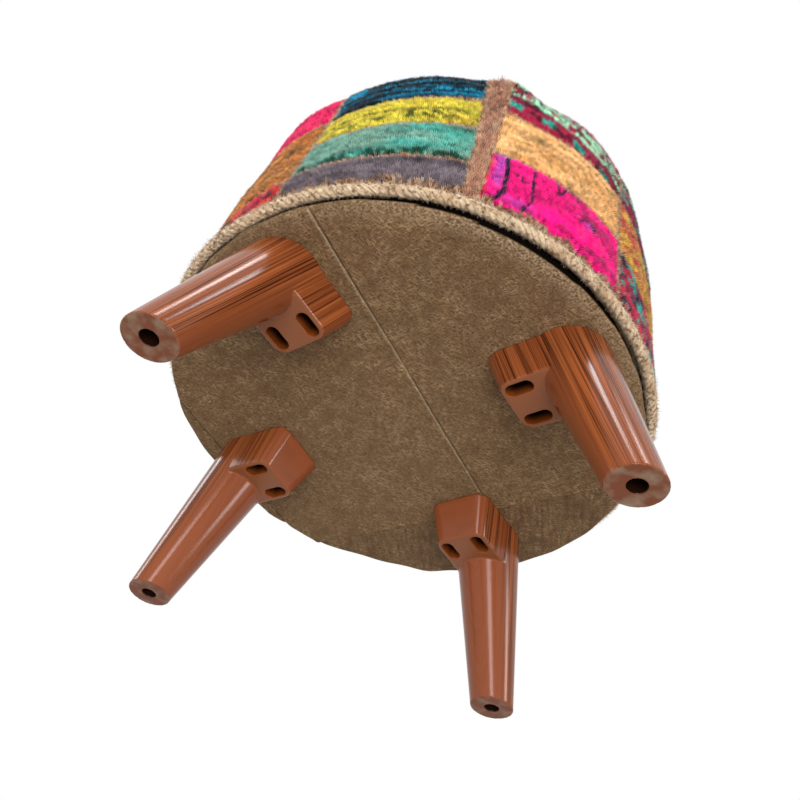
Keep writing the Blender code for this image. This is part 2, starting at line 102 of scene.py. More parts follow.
def dress(material, *nodes):
    """Gives CAD nodes that keep their own shape a finish."""
    for name in nodes:
        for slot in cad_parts[name].material_slots:
            slot.material = material


# Plywood shows long soft figure, chipboard small flakes, sawn pine straight lines up each post,
# and hardboard a fine even brown
discs = ("drum_floor", "seat_board")
posts = [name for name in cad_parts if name.startswith("frame_post")]
dress(raw_timber("rotary_cut_plywood", "#c9a273", "#a67c4d", (0.09, 0.006, 0.004), 0.0002), "base_board")
dress(raw_timber("chipboard", "#b9935f", "#7d5b36", (0.004, 0.003, 0.003), 0.0003), *discs)
dress(raw_timber("sawn_pine", "#d8b27c", "#b98a4f", (0.005, 0.005, 0.08), 0.0003), *posts)
dress(raw_timber("hardboard", "#7a5636", "#5a3d25", (0.002, 0.002, 0.002), 0.0001), "drum_wall")

# Foam: an open cell sheet wrapped round the drum and a crowned block on the seat board, cut from
# polyurethane slab. Its edges are soft and its skin is a mesh of tiny pale cells, which are drawn
# a little coarser than they are, to show.

FOAM_VOXEL = 0.006
FOAM_CELL = 0.0012
FOAM_FOOT = 0.150
FOAM_INNER = 0.198
FOAM_GIVES = 1.1
FOAM_EASE = 0.01

# The radius and level of the shoulder's centre, and the radii between which a dent fades out inwards
FOAM_SHOULDER = (0.187, 0.375)
FOAM_RIM = (0.12, 0.20)

# Dents, and later bulges and waves, each as a depth, an azimuth in degrees and a spread. A share of the
# tight dent begins near the cover's lower edge, and the rest of it grows towards the shoulder.
TIGHT_DENT = (0.0085, 325, 11)
TIGHT_BELOW = 0.38
TIGHT_FROM = 0.03
SLACK_DENT = (0.003, 208, 12)
SLACK_RUN = (0.02, 0.09)
UPPER_FROM = 0.08
UPPER_RUN = 0.13


def put_in(name, data):
    """A new object in the scene."""
    made = bpy.data.objects.new(name, data)
    bpy.context.scene.collection.objects.link(made)
    return made


def add_piece(name, mesh, material, node):
    """A finished piece at the origin, on the pouf's one body, in place of a CAD node."""
    mesh.name = name
    mesh.materials.clear()
    mesh.materials.append(material)
    piece = put_in(name, mesh)
    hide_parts(node)
    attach(piece, "root")
    return piece


def evaluated(thing):
    """The plain mesh that an object's modifiers give, in place of the object."""
    graph = bpy.context.evaluated_depsgraph_get()
    mesh = bpy.data.meshes.new_from_object(thing.evaluated_get(graph))
    bpy.data.objects.remove(thing)
    return mesh


def remeshed(node, turn, voxel):
    """A CAD node's skin turned about Z, merged and divided into even small faces."""
    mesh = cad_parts[node].data.copy()
    mesh.transform(Matrix.Rotation(turn, 4, "Z"))
    shape = bmesh.new()
    shape.from_mesh(mesh)
    bmesh.ops.remove_doubles(shape, verts=shape.verts, dist=0.00001)
    shape.to_mesh(mesh)
    shape.free()
    copy = put_in(node, mesh)
    step = copy.modifiers.new("even_faces", "REMESH")
    step.mode = "VOXEL"
    step.voxel_size = voxel
    return evaluated(copy)


def unit(value):
    """A value held between 0 and 1."""
    return np.clip(value, 0, 1)


def hump(value, middle, spread):
    """A bell curve of height 1."""
    return np.exp(-(((value - middle) / spread) ** 2))


def swell(azimuth, depth, middle, spread):
    """How deep a dent or how high a bulge is at an azimuth."""
    return depth * hump(azimuth % 360, middle, spread)


def upper(rise):
    """How much of an unevenness of the shoulder reaches a rise from the cover's lower edge."""
    return unit((rise - UPPER_FROM) / UPPER_RUN) ** 2


def dent(azimuth, rise):
    """How far the foam is pressed in where the cover is sewn tight, at a rise from its lower edge."""
    tight = TIGHT_BELOW * unit(rise / TIGHT_FROM) + (1 - TIGHT_BELOW) * upper(rise)
    slack = unit(1 - rise / SLACK_RUN[1]) * unit(rise / SLACK_RUN[0])
    return swell(azimuth, *TIGHT_DENT) * tight + swell(azimuth, *SLACK_DENT) * slack


def press_in(mesh):
    """Dents a block of foam at its shoulder, but not where it lies on the drum."""
    for vert in mesh.vertices:
        x, y, z = vert.co
        radius = math.hypot(x, y)
        depth = FOAM_GIVES * dent(math.degrees(math.atan2(y, x)), z - FOAM_FOOT)
        depth *= unit([(radius - FOAM_INNER) / FOAM_EASE, (z - FOAM_SHOULDER[1]) / FOAM_EASE]).max()
        depth *= unit((radius - FOAM_RIM[0]) / (FOAM_RIM[1] - FOAM_RIM[0]))
        way = Vector((max(radius - FOAM_SHOULDER[0], 0.0), max(z - FOAM_SHOULDER[1], 0.0))).normalized()
        vert.co -= float(depth) * (way.x * Vector((x, y, 0)).normalized() + Vector((0, 0, way.y)))


foam, add, shader = new_material("polyurethane_foam", Roughness=0.95)
place = add("ShaderNodeTexCoord").outputs["Object"]
cells = add("ShaderNodeTexVoronoi", {"Vector": place, "Scale": 1 / FOAM_CELL})
bump = add("ShaderNodeBump", {"Height": cells, "Distance": 0.0005})
fill(shader, {"Base Color": painted(add, "#cdbf8a", (cells, "#efe6bd")), "Normal": bump})
for node in ("side_foam", "seat_foam"):
    block = remeshed(node, 0.0, FOAM_VOXEL)
    press_in(block)
    block.shade_smooth()
    add_piece(f"{node}_block", block, foam, node)

# Carpet cover: strips of old hand knotted carpets, sewn end to end into columns round the side,
# with three more strips on top. Each knot is a tuft of dyed wool on a woven ground.

COVER_LEVEL = 0.1678
COVER_RADIUS = 0.2155
COVER_FLARE = 0.0035
WALL_HEIGHT = 0.2075
SHOULDER_RADIUS = 0.032
TOP_SEAM = math.radians(50)
SHOULDER_SWEEP = math.radians(80)
TOP_STRIP_WIDTH = 0.124
SEAM_DEPTH = 0.0010
PILE = 0.0044
PILE_SUNK = 0.0032
YARN_RADIUS = 0.00085
NAP_LEAN = -0.16
KNOT = 0.0018
KNOT_STRAYS = 0.3
KNOT_SHADES = (0.65, 1.30)
NAP_SPREAD = (0.8, 1.15)
CLUMP_SIZE = 0.006
CLUMP_LEAN = 1.4
SIM_STEP = 0.0075
SIM_MOMENTS = 20
FOAM_PRESSURE = 12.0
CLOTH_STRETCH = 0.008
PUFF_LIMIT = 0.0035
LOWER_TUCK = 0.003
LOWER_TUCK_RUN = 0.010
SAG_IN = 0.0020
SAG_DOWN = 0.0028
SAG_RUN = 0.030
BULGES = ((0.0045, 217, 9), (0.0018, 252, 12), (0.0085, 272, 6), (0.0036, 292, 9))

# Where the sag begins and where it ends, each as an azimuth and the degrees over which it comes or goes
SAG_FROM = (206, 12)
SAG_TO = (340, 60)

# What follows from these sizes
SHOULDER_LEVEL = COVER_LEVEL + WALL_HEIGHT
SHOULDER_CENTRE = COVER_RADIUS + COVER_FLARE - SHOULDER_RADIUS
SIDE_RUN = WALL_HEIGHT + SHOULDER_RADIUS * TOP_SEAM
CROWN_RADIUS = SHOULDER_CENTRE + SHOULDER_RADIUS * math.cos(SHOULDER_SWEEP)
CROWN_LEVEL = SHOULDER_LEVEL + SHOULDER_RADIUS * math.sin(SHOULDER_SWEEP)
CROWN_RISE = CROWN_RADIUS / math.tan(SHOULDER_SWEEP) / 2
TOP_RADIUS = SHOULDER_CENTRE + SHOULDER_RADIUS * math.cos(TOP_SEAM)

# In millimetres: the hem by the rope, and the frayed binding at a patch's edge and how ragged it is
ROPE_HEM = 6.5
BINDING = 2.6
RAGGED = 2.6
NAP_AT_BINDING = 1.1


def unevenness(azimuth, rise):
    """How far hand sewing and old foam put the cover out of the round."""
    return sum(swell(azimuth, *bulge) for bulge in BULGES) * upper(rise) - dent(azimuth, rise)


def sag(azimuth):
    """How far the lower edge hangs down at the front, from 0 to 1."""
    turn = azimuth % 360
    return unit((turn - SAG_FROM[0]) / SAG_FROM[1]) * unit((SAG_TO[0] - turn) / SAG_TO[1])


def polar(radius, turn, height):
    """Points at a radius, an angle and a height."""
    return np.stack([radius * np.cos(turn), radius * np.sin(turn), height], axis=-1)


def side_surface(azimuth, run):
    """Points and outward directions on the cover's side, at an azimuth and a run up from its lower edge."""
    share = unit(run / WALL_HEIGHT)
    bend = np.maximum(run - WALL_HEIGHT, 0) / SHOULDER_RADIUS
    hang = sag(azimuth) * unit(1 - run / SAG_RUN) ** 2
    radius = COVER_RADIUS + COVER_FLARE * share**2 - SHOULDER_RADIUS * (1 - np.cos(bend))
    radius = radius - LOWER_TUCK * unit(1 - run / LOWER_TUCK_RUN) ** 2 - SAG_IN * hang
    height = COVER_LEVEL + share * WALL_HEIGHT + SHOULDER_RADIUS * np.sin(bend) - SAG_DOWN * hang
    turn = np.radians(azimuth)
    out = polar(np.cos(bend), turn, np.sin(bend))
    return polar(radius, turn, height) + out * unevenness(azimuth, run)[..., None], out


def top_surface(x, y):
    """Points and outward directions on the crowned top, at a place in plan."""
    radius = np.hypot(x, y)
    share = np.minimum(radius / CROWN_RADIUS, 1)
    bend = np.arccos(np.clip((radius - SHOULDER_CENTRE) / SHOULDER_RADIUS, -1, 1))
    bend = np.minimum(bend, SHOULDER_SWEEP)
    crown = CROWN_LEVEL + CROWN_RISE * (1 - share**2)
    shoulder = SHOULDER_LEVEL + SHOULDER_RADIUS * np.sin(bend)
    height = np.where(radius < CROWN_RADIUS, crown, shoulder)
    slope = np.where(radius < CROWN_RADIUS, 2 * CROWN_RISE * share / CROWN_RADIUS, 1 / np.tan(bend))
    flat = np.maximum(radius, 0.0001)
    out = np.stack([slope * x / flat, slope * y / flat, np.ones_like(x)], axis=-1)
    out = out / np.linalg.norm(out, axis=-1, keepdims=True)
    edge = unit(radius / TOP_RADIUS * 2.5 - 1.5) ** 2
    shift = unevenness(np.degrees(np.arctan2(y, x)), SIDE_RUN) * edge
    return np.stack([x, y, height], axis=-1) + out * shift[..., None], out


# Dyes, as the old wools have faded
CHARCOAL = linear("#6c6167")
SOOT = linear("#3c353b")
SEA_GREEN = linear("#719a8a")
BOTTLE = linear("#124a3c")
OLIVE_YELLOW = linear("#cbbd3f")
OLIVE = linear("#4b5219")
PEACOCK = linear("#0a4a5c")
SKY = linear("#1490b8")
INK = linear("#0c1216")
MAGENTA = linear("#f4107e")
WINE = linear("#b01560")
NAVY = linear("#241c38")
PURPLE = linear("#b04ab0")
APRICOT = linear("#f3bd80")
TAN = linear("#cf9552")
MINT = linear("#a2e2bd")
BURGUNDY = linear("#962447")
TEAL = linear("#2fae9e")
CORAL = linear("#d84438")
ROSE = linear("#e6225f")
GOLD = linear("#c87b38")
UMBER = linear("#5e4020")
CRIMSON = linear("#bd2142")
MUSTARD = linear("#d0a638")
IVORY = linear("#ddd3bc")
FRAYED = [linear(tone) for tone in ("#b48058", "#8f6a4c", "#cdb296")]


def mottle(x, y, across, up, seed):
    """A soft random tone from 0 to 1, in blotches of these sizes."""
    lattice = np.random.default_rng(seed).random((64, 64))
    i, j = np.floor(x / across).astype(int), np.floor(y / up).astype(int)
    s, t = x / across - i, y / up - j
    s, t = s * s * (3 - 2 * s), t * t * (3 - 2 * t)
    low = lattice[i % 64, j % 64] * (1 - s) + lattice[(i + 1) % 64, j % 64] * s
    high = lattice[i % 64, (j + 1) % 64] * (1 - s) + lattice[(i + 1) % 64, (j + 1) % 64] * s
    return low * (1 - t) + high * t


def above(value, edge, soft=0.12):
    """1 where a value is over an edge, with a soft change."""
    return unit((value - edge) / soft + 0.5)


def blend(colours, other, share):
    """Colours with a share of another laid over each."""
    return colours * (1 - share[..., None]) + other * share[..., None]


# Figures woven into the strips. Each takes millimetres from a patch's lower left corner and its
# width and height, and gives the shares of up to three more yarns over the ground.


def plain(x, y, w, h):
    """No figure, only the ground."""
    return []


def dark_edge(x, y, w, h):
    """Dark tufts that show along the lower edge and here and there in the field."""
    low = above(mottle(x, y, 4, 5, 11) + 1.2 * np.exp(-y / 8), 0.98, 0.25)
    return [np.maximum(low, 0.6 * above(mottle(x, y, 9, 3, 10), 0.86, 0.2))]


def lined(x, y, w, h):
    """A thin line across the middle, and tufts under it."""
    line = above(-abs(y - 0.5 * h - 1.5 * np.sin(x / 25)), -1.5, 0.8) * above(mottle(x, y, 9, 9, 4), 0.15)
    tufts = above(mottle(x, y, 6, 4, 5), 0.64) * above(-abs(y - 0.3 * h), -0.14 * h, 3)
    return [0.95 * np.maximum(line, tufts)]


def streaked(x, y, w, h):
    """Long dark rows and bright ones between them."""
    rows = above(mottle(x, y, 90, 3.6, 7) + 0.3 * (mottle(x, y, 9, 3, 8) - 0.5), 0.5, 0.1)
    bright = above(mottle(x, y, 18, 3.4, 9), 0.5, 0.2)
    return [bright, rows]


def flecked(x, y, w, h):
    """Short dark flecks that run up to the right."""
    along, across = x + 0.8 * y, y - 0.8 * x
    return [0.85 * above(mottle(along, across, 16, 2.2, 12), 0.6)]


def stroke(x, y, *route):
    """The distance to a route of points."""
    best = np.full(x.shape, 1e3)
    for (x0, y0), (x1, y1) in zip(route, route[1:]):
        length = (x1 - x0) ** 2 + (y1 - y0) ** 2
        along = np.clip(((x - x0) * (x1 - x0) + (y - y0) * (y1 - y0)) / length, 0, 1)
        best = np.minimum(best, np.hypot(x - x0 - along * (x1 - x0), y - y0 - along * (y1 - y0)))
    return best


def hooked(x, y, w, h):
    """Hooked lines and small open rings in dark yarn, with lighter patches of another dye batch."""
    thick = stroke(x, y, (15, 90), (18, 52), (18, 26), (14, 14), (6, 8))
    second = stroke(x, y, (38, 88), (39, 56), (40, 24), (34, 11))
    ring = stroke(x, y, (24, 56), (29, 58), (30, 49), (36, 54))
    comb = stroke(x, y, (58, 84), (61, 62), (68, 80), (78, 82), (80, 74))
    open_ring = stroke(x, y, (83, 48), (92, 58), (99, 54), (97, 46))
    thin = np.minimum.reduce([second, ring, comb, open_ring])
    lines = np.maximum(above(-thick, -2.0, 0.9), above(-thin, -1.5, 0.9))
    batch = hump(x, 11, 5.5) * above(y, 26 + 14 * mottle(x, y, 6, 9, 14), 14) * 0.9
    batch = np.maximum(batch, hump(x, 30, 14) * hump(y, 16, 6) * 0.7)
    batch = np.maximum(batch, hump(x, 93, 5) * hump(y, 50, 4))
    fringe = above(9 - y + 6 * mottle(x, y, 8, 8, 15) - x / 8, 4, 5)
    fringe = np.maximum(fringe, 0.8 * above(6 - x + 4 * mottle(x, y, 5, 5, 13), 3, 3))
    return [batch, lines, fringe]


def smudged(x, y, w, h):
    """Worn tan patches and one green smudge."""
    worn = above(mottle(x, y, 26, 8, 16), 0.6, 0.4) * 0.6
    smudge = hump(x, 37, 8) * hump(y, 50, 6) * 0.75
    flecks = above(mottle(x, y, 6, 4, 17), 0.8) * above(x, 40, 20) * 0.8
    return [np.maximum(worn, flecks), smudge]


def bordered(x, y, w, h):
    """A border of small blocks under a pale band with dark dots."""
    middle = 0.62 * h - 0.25 * x * h / w + 5 * (mottle(x, y, 16, 12, 21) - 0.5)
    band = above(-abs(y - middle), -0.17 * h, 3) * above(mottle(x, y, 9, 5, 18), 0.3)
    band = band * above(abs((y - middle + 0.25 * x) % 11 - 5.5), 1.0, 0.8)
    blocks = above(np.sin(x / 5.2), 0.25, 0.5) * above(-abs(y - middle + 0.36 * h), -4.5, 2)
    dots = above(mottle(x, y, 4.2, 3.6, 19), 0.74) * above(-abs(y - middle), -0.22 * h, 3)
    return [band, blocks, np.maximum(dots, above(mottle(x, y, 8, 4, 20), 0.72) * (1 - band) * 0.7)]


def speckled(x, y, w, h):
    """Tufts of two other yarns scattered over the ground."""
    return [above(mottle(x, y, 8, 7, 22), 0.58), above(mottle(x, y, 7, 6, 23), 0.68)]


def latticed(x, y, w, h):
    """A lattice of diamonds with a knot of another yarn in each."""
    a, b = (x + y) / 26, (x - y) / 26
    lines = np.maximum(above(-abs(a % 1 - 0.5), -0.06, 0.06), above(-abs(b % 1 - 0.5), -0.06, 0.06))
    return [lines, above(-np.hypot(abs((a + 0.5) % 1 - 0.5), abs((b + 0.5) % 1 - 0.5)), -0.16, 0.08)]


def zigzag(x, y, w, h):
    """Rows of zigzag in two yarns."""
    rows = (y + 9 * abs((x / 18) % 1 - 0.5) * 2) / 13
    return [above(-abs(rows % 1 - 0.5), -0.13, 0.08), above(-abs((rows + 0.5) % 1 - 0.5), -0.08, 0.08)]


def rosettes(x, y, w, h):
    """Eight petalled rosettes in staggered rows."""
    row = np.floor(y / 24)
    dx, dy = (x + 12 * (row % 2)) % 24 - 12, y % 24 - 12
    reach, turn = np.hypot(dx, dy), np.arctan2(dy, dx)
    return [above(-reach + 7 + 2.2 * np.cos(8 * turn), 0, 1.5), above(-reach, -2.8, 1.2)]


# Each column's patches from its lower edge up: where its top seam lies at its left and right ends,
# as shares of the wall, then its figure, ground and second batch, and the yarns of the figure.
# The first column lies right of the closing band, and the rest follow anticlockwise.
TO_TOP = SIDE_RUN / WALL_HEIGHT
COLUMNS = (
    (
        (0.40, 0.42, hooked, MAGENTA, WINE, PURPLE, NAVY, CORAL),
        (0.76, 0.79, smudged, APRICOT, TAN, TAN, OLIVE),
        (TO_TOP, TO_TOP, bordered, BURGUNDY, CRIMSON, MINT, TEAL, INK),
    ),
    (
        (0.38, 0.38, speckled, CRIMSON, BURGUNDY, NAVY, TEAL),
        (0.80, 0.74, flecked, MUSTARD, TAN, CRIMSON),
        (TO_TOP, TO_TOP, bordered, BURGUNDY, NAVY, MINT, TEAL, INK),
    ),
    (
        (0.30, 0.31, latticed, TEAL, PEACOCK, IVORY, CORAL),
        (0.63, 0.61, dark_edge, CORAL, CRIMSON, BURGUNDY),
        (TO_TOP, TO_TOP, rosettes, NAVY, SOOT, ROSE, OLIVE_YELLOW),
    ),
    (
        (0.25, 0.24, plain, OLIVE_YELLOW, OLIVE),
        (0.49, 0.51, zigzag, BURGUNDY, CRIMSON, GOLD, NAVY),
        (0.78, 0.79, streaked, SEA_GREEN, TEAL, MINT, BOTTLE),
        (TO_TOP, TO_TOP, smudged, ROSE, WINE, WINE, PURPLE),
    ),
    (
        (0.37, 0.35, rosettes, CHARCOAL, SOOT, CORAL, IVORY),
        (0.70, 0.71, flecked, GOLD, TAN, UMBER),
        (TO_TOP, TO_TOP, latticed, CRIMSON, BURGUNDY, NAVY, APRICOT),
    ),
    (
        (0.28, 0.29, streaked, PEACOCK, NAVY, SKY, INK),
        (0.59, 0.57, smudged, APRICOT, TAN, TAN, CORAL),
        (0.82, 0.81, speckled, PURPLE, WINE, MAGENTA, NAVY),
        (TO_TOP, TO_TOP, dark_edge, SEA_GREEN, TEAL, BOTTLE),
    ),
    (
        (0.33, 0.34, zigzag, CRIMSON, BURGUNDY, IVORY, NAVY),
        (0.67, 0.69, dark_edge, MAGENTA, WINE, BURGUNDY),
        (TO_TOP, TO_TOP, lined, MUSTARD, TAN, OLIVE),
    ),
    (
        (0.20, 0.17, speckled, CORAL, CRIMSON, CRIMSON, SOOT),
        (0.82, 0.73, flecked, GOLD, TAN, UMBER),
        (TO_TOP, TO_TOP, plain, ROSE, WINE),
    ),
    (
        (0.17, 0.25, plain, CHARCOAL, SOOT),
        (0.47, 0.56, dark_edge, SEA_GREEN, TEAL, BOTTLE),
        (0.73, 0.83, lined, OLIVE_YELLOW, MUSTARD, OLIVE),
        (TO_TOP, TO_TOP, streaked, PEACOCK, NAVY, SKY, INK),
    ),
)

# Where the columns meet, and the band's left edge at the bottom and top of the cover
COLUMN_STARTS = (271.7, 307.2, 348.6, 390.4, 430.9, 470.4, 510.1, 549.6, 589.9)
BAND_LEFT = (629.4, 626.7)

# The top's strips run from front to back: where each lies across the pouf, then its patches, each with
# the share of the strip where it ends, its figure, its ground and batch, and the yarns of its figure
HALF_STRIP = TOP_STRIP_WIDTH / 2
TOP_EDGE = 0.998 * TOP_RADIUS
TOP_STRIPS = {
    "left": (
        (-TOP_EDGE, -HALF_STRIP),
        (0.48, rosettes, PURPLE, NAVY, IVORY, CORAL),
        (1.0, streaked, TEAL, BOTTLE, MINT, INK),
    ),
    "middle": (
        (-HALF_STRIP, HALF_STRIP),
        (0.34, latticed, CRIMSON, BURGUNDY, NAVY, APRICOT),
        (0.69, dark_edge, OLIVE_YELLOW, GOLD, OLIVE),
        (1.0, zigzag, CHARCOAL, SOOT, ROSE, SKY),
    ),
    "right": (
        (HALF_STRIP, TOP_EDGE),
        (0.55, smudged, APRICOT, TAN, TAN, CORAL),
        (1.0, speckled, MAGENTA, WINE, PURPLE, NAVY),
    ),
}


def between(ends, share):
    """What lies at a share of the way from one end to the other."""
    return ends[0] + (ends[1] - ends[0]) * share


def strip_on_side(start, end, low, high):
    """A patch of the side: its surface, width, height and the hem by the rope. Its left and right azimuths
    are given at the bottom and top of the cover, and its lower and upper seams at its left and right ends.
    The surface gives points, outward directions, and places in the weave in millimetres."""

    def surface(u, v):
        run = WALL_HEIGHT * between((between(low, u), between(high, u)), v)
        edges = [between(edge, run / SIDE_RUN) for edge in (start, end)]
        return (*side_surface(between(edges, u), run), (u * width * 1000, v * height * 1000))

    width = math.radians(sum(end) - sum(start)) / 2 * COVER_RADIUS
    height = WALL_HEIGHT * (sum(high) - sum(low)) / 2
    hem = ROPE_HEM if low == (0.0, 0.0) else 0.0
    return surface, width, height, hem


def strip_on_top(left, right, low, high):
    """A patch of the top between two lines from front to back, cut square at shares of the strip."""

    def surface(u, v):
        x = between((left, right), u)
        y = np.sqrt(TOP_RADIUS**2 - x**2) * (2 * between((low, high), v) - 1)
        return (*top_surface(x, y), ((x - left) * 1000, (y - TOP_RADIUS * (2 * low - 1)) * 1000))

    return surface, right - left, 2 * (high - low) * TOP_RADIUS, 0.0


patches = []
column_edges = [(edge, edge) for edge in COLUMN_STARTS] + [BAND_LEFT]
for number, column in enumerate(COLUMNS, 1):
    low = (0.0, 0.0)
    for seed, (left, right, *wool) in enumerate(column):
        shape = strip_on_side(column_edges[number - 1], column_edges[number], low, (left, right))
        patches.append((f"side_carpet_{number}", shape, wool, 10 * number + seed))
        low = (left, right)
for number, (label, (edges, *strips)) in enumerate(TOP_STRIPS.items()):
    low = 0.0
    for seed, (high, *wool) in enumerate(strips):
        shape = strip_on_top(*edges, low, high)
        patches.append((f"top_carpet_{label}", shape, wool, 200 + 10 * number + seed))
        low = high


def grid(across, up):
    """Even places from 0 to 1 both ways, as two arrays."""
    return np.meshgrid(np.linspace(0, 1, across), np.linspace(0, 1, up))


def sim_grid(width, height):
    """The coarse grid on which a patch of this size is simulated."""
    return max(5, round(width / SIM_STEP)), max(5, round(height / SIM_STEP))


def grid_faces(across, up, first):
    """The corners of a grid's faces, counted from its first point."""
    i, j = np.meshgrid(np.arange(across - 1), np.arange(up - 1))
    corner = (first + i + j * across).ravel()
    return np.stack([corner, corner + 1, corner + across + 1, corner + across], axis=1)


def mesh_of(name, points, edges, faces):
    """A mesh with these points, and edges or faces between them."""
    mesh = bpy.data.meshes.new(name)
    mesh.from_pydata(*(np.asarray(part).tolist() for part in (points, edges, faces)))
    return mesh


def places_of(mesh):
    """Where a mesh's points are."""
    spots = np.empty(len(mesh.vertices) * 3)
    mesh.vertices.foreach_get("co", spots)
    return spots.reshape(-1, 3)


def puffed(patches):
    """How far the foam pushes each patch out between its seams, as a grid for each, by cloth simulation."""
    spots, outs, faces, pins, sizes = [], [], [], [], []
    first = 0
    for _, (surface, width, height, _), _, _ in patches:
        across, up = sim_grid(width, height)
        u, v = grid(across, up)
        points, out, _ = surface(u, v)
        spots.append((points - out * SEAM_DEPTH).reshape(-1, 3))
        outs.append(out.reshape(-1, 3))
        faces.append(grid_faces(across, up, first))
        edge = (u == 0) | (u == 1) | (v == 0) | (v == 1)
        pins += [int(first + pin) for pin in np.flatnonzero(edge)]
        sizes.append((across, up))
        first += across * up
    spots, outs = np.concatenate(spots), np.concatenate(outs)
    cover = put_in("sewn_cover", mesh_of("sewn_cover", spots, (), np.concatenate(faces)))
    cover.vertex_groups.new(name="seams").add(pins, 1.0, "REPLACE")
    cloth = cover.modifiers.new("foam_pressure", "CLOTH").settings
    cloth.vertex_group_mass = "seams"
    cloth.use_pressure = True
    cloth.uniform_pressure_force = FOAM_PRESSURE
    cloth.shrink_min = -CLOTH_STRETCH
    cloth.effector_weights.gravity = 0.0
    for moment in range(SIM_MOMENTS):
        bpy.context.scene.frame_set(moment + 1)
    moved = places_of(evaluated(cover))
    bpy.context.scene.frame_set(1)
    push = np.clip(((moved - spots) * outs).sum(axis=1), 0, PUFF_LIMIT)
    ends = np.cumsum([across * up for across, up in sizes])[:-1]
    return [part.reshape(up, across) for part, (across, up) in zip(np.split(push, ends), sizes)]


def resampled(coarse, across, up):
    """A coarse grid read at a finer one's places."""
    rows = np.linspace(0, coarse.shape[0] - 1, up)
    columns = np.linspace(0, coarse.shape[1] - 1, across)
    wide = np.stack([np.interp(columns, np.arange(coarse.shape[1]), row) for row in coarse])
    return np.stack([np.interp(rows, np.arange(coarse.shape[0]), part) for part in wide.T], axis=1)


def knots(shape, wool, push, seed):
    """The knots of one patch: their places, dyes, pile heights and looseness, and the grid they lie on."""
    surface, width, height, hem = shape
    figure, ground, batch, *yarns = wool
    across, up = round(width / KNOT), round(height / KNOT)
    u, v = grid(across, up)
    rng = np.random.default_rng(seed)
    loose = (u > 0) & (u < 1) & (v > 0) & (v < 1)
    u = u + loose * rng.uniform(-KNOT_STRAYS, KNOT_STRAYS, u.shape) / across
    v = v + loose * rng.uniform(-KNOT_STRAYS, KNOT_STRAYS, v.shape) / up
    points, out, (x, y) = surface(u, v)
    depth = resampled(push, across, up) - SEAM_DEPTH - PILE_SUNK
    points = points + out * depth[..., None]
    w, h = width * 1000, height * 1000
    dye = np.broadcast_to(ground, (*u.shape, 3))
    dye = blend(dye, batch, 0.75 * above(mottle(x, y, 45, 9, seed + 1), 0.62, 0.5))
    dye = blend(dye, ground * 1.25, 0.5 * above(mottle(x, y, 12, 12, seed + 2), 0.6, 0.4))
    for yarn, share in zip(yarns, figure(x, y, w, h)):
        dye = blend(dye, yarn, share)
    worn = 0.28 + 0.85 * mottle(x, y, 3.6, 3.0, seed + 4) + 0.85 * mottle(x, y, 26, 3.2, seed + 5)
    dye = dye * (worn * rng.uniform(*KNOT_SHADES, u.shape))[..., None]
    ragged = mottle(x, y, 3.5, 3.5, seed + 3) - 0.5
    edge = np.minimum.reduce([u * w, (1 - u) * w, v * h - hem * (1 + 1.2 * ragged), (1 - v) * h])
    bound = above(BINDING + RAGGED * ragged - edge, 0, 1.2)
    dye = blend(dye, np.asarray(FRAYED)[rng.integers(0, len(FRAYED), u.shape)], bound)
    nap = (1 - (1 - NAP_AT_BINDING) * bound) * rng.uniform(*NAP_SPREAD, u.shape)
    nap = nap * (0.82 + 0.36 * mottle(x, y, 4.2, 4.2, seed + 6))
    stray = 0.28 + 0.75 * bound
    return points.reshape(-1, 3), dye.reshape(-1, 3), nap.ravel(), stray.ravel(), (across, up)


def new_tree(name, sockets):
    """A geometry tree with these inputs, the function that adds nodes to it, and its inputs' sockets."""
    tree = bpy.data.node_groups.new(name, "GeometryNodeTree")
    for label, kind in {"Geometry": "Geometry", **sockets, "Material": "Material"}.items():
        tree.interface.new_socket(label, in_out="INPUT", socket_type=f"NodeSocket{kind}")
    tree.interface.new_socket("Geometry", in_out="OUTPUT", socket_type="NodeSocketGeometry")
    add = partial(add_node, tree)
    return tree, add, add("NodeGroupInput").outputs


def close_tree(add, given, *shapes):
    """Ends a tree with shapes as real geometry, smooth and in the given material."""
    both = add("GeometryNodeJoinGeometry")
    for shape in shapes:
        fill(both, {0: shape})
    real = add("GeometryNodeRealizeInstances", {"Geometry": both})
    smooth = add("GeometryNodeSetShadeSmooth", {"Geometry": real})
    done = add("GeometryNodeSetMaterial", {"Geometry": smooth, "Material": given["Material"]})
    add("NodeGroupOutput", {0: done})


def yarn_end(add, radius, length):
    """One pointed end of yarn, marked from 0 at its root to 1 at its tip."""
    sizes = {"Vertices": 3, "Radius Top": 0.0, "Radius Bottom": radius, "Depth": length}
    end = add("GeometryNodeMeshCone", sizes, fill_type="NONE")
    level = add("ShaderNodeSeparateXYZ", {0: add("GeometryNodeInputPosition")}).outputs["Z"]
    rise = add("ShaderNodeMath", {0: level, 1: length}, operation="DIVIDE")
    mark = {"Geometry": end, "Name": "tip", "Value": rise}
    return add("GeometryNodeStoreNamedAttribute", mark, data_type="FLOAT", domain="POINT")


def strays(add, seed, reach):
    """Random leanings up to a reach."""
    ends = {0: (-1, -1, -1), 1: (1, 1, 1), "Seed": seed}
    random = add("FunctionNodeRandomValue", ends, data_type="FLOAT_VECTOR")
    return add("ShaderNodeVectorMath", {0: random, "Scale": reach}, operation="SCALE")


def planted(add, points, thing, lean, size):
    """Copies of a thing on points, each with its lean and size."""
    turn = add("FunctionNodeAlignRotationToVector", {"Vector": lean}, axis="Z")
    copies = {"Points": points, "Instance": thing, "Rotation": turn, "Scale": size}
    return add("GeometryNodeInstanceOnPoints", copies)


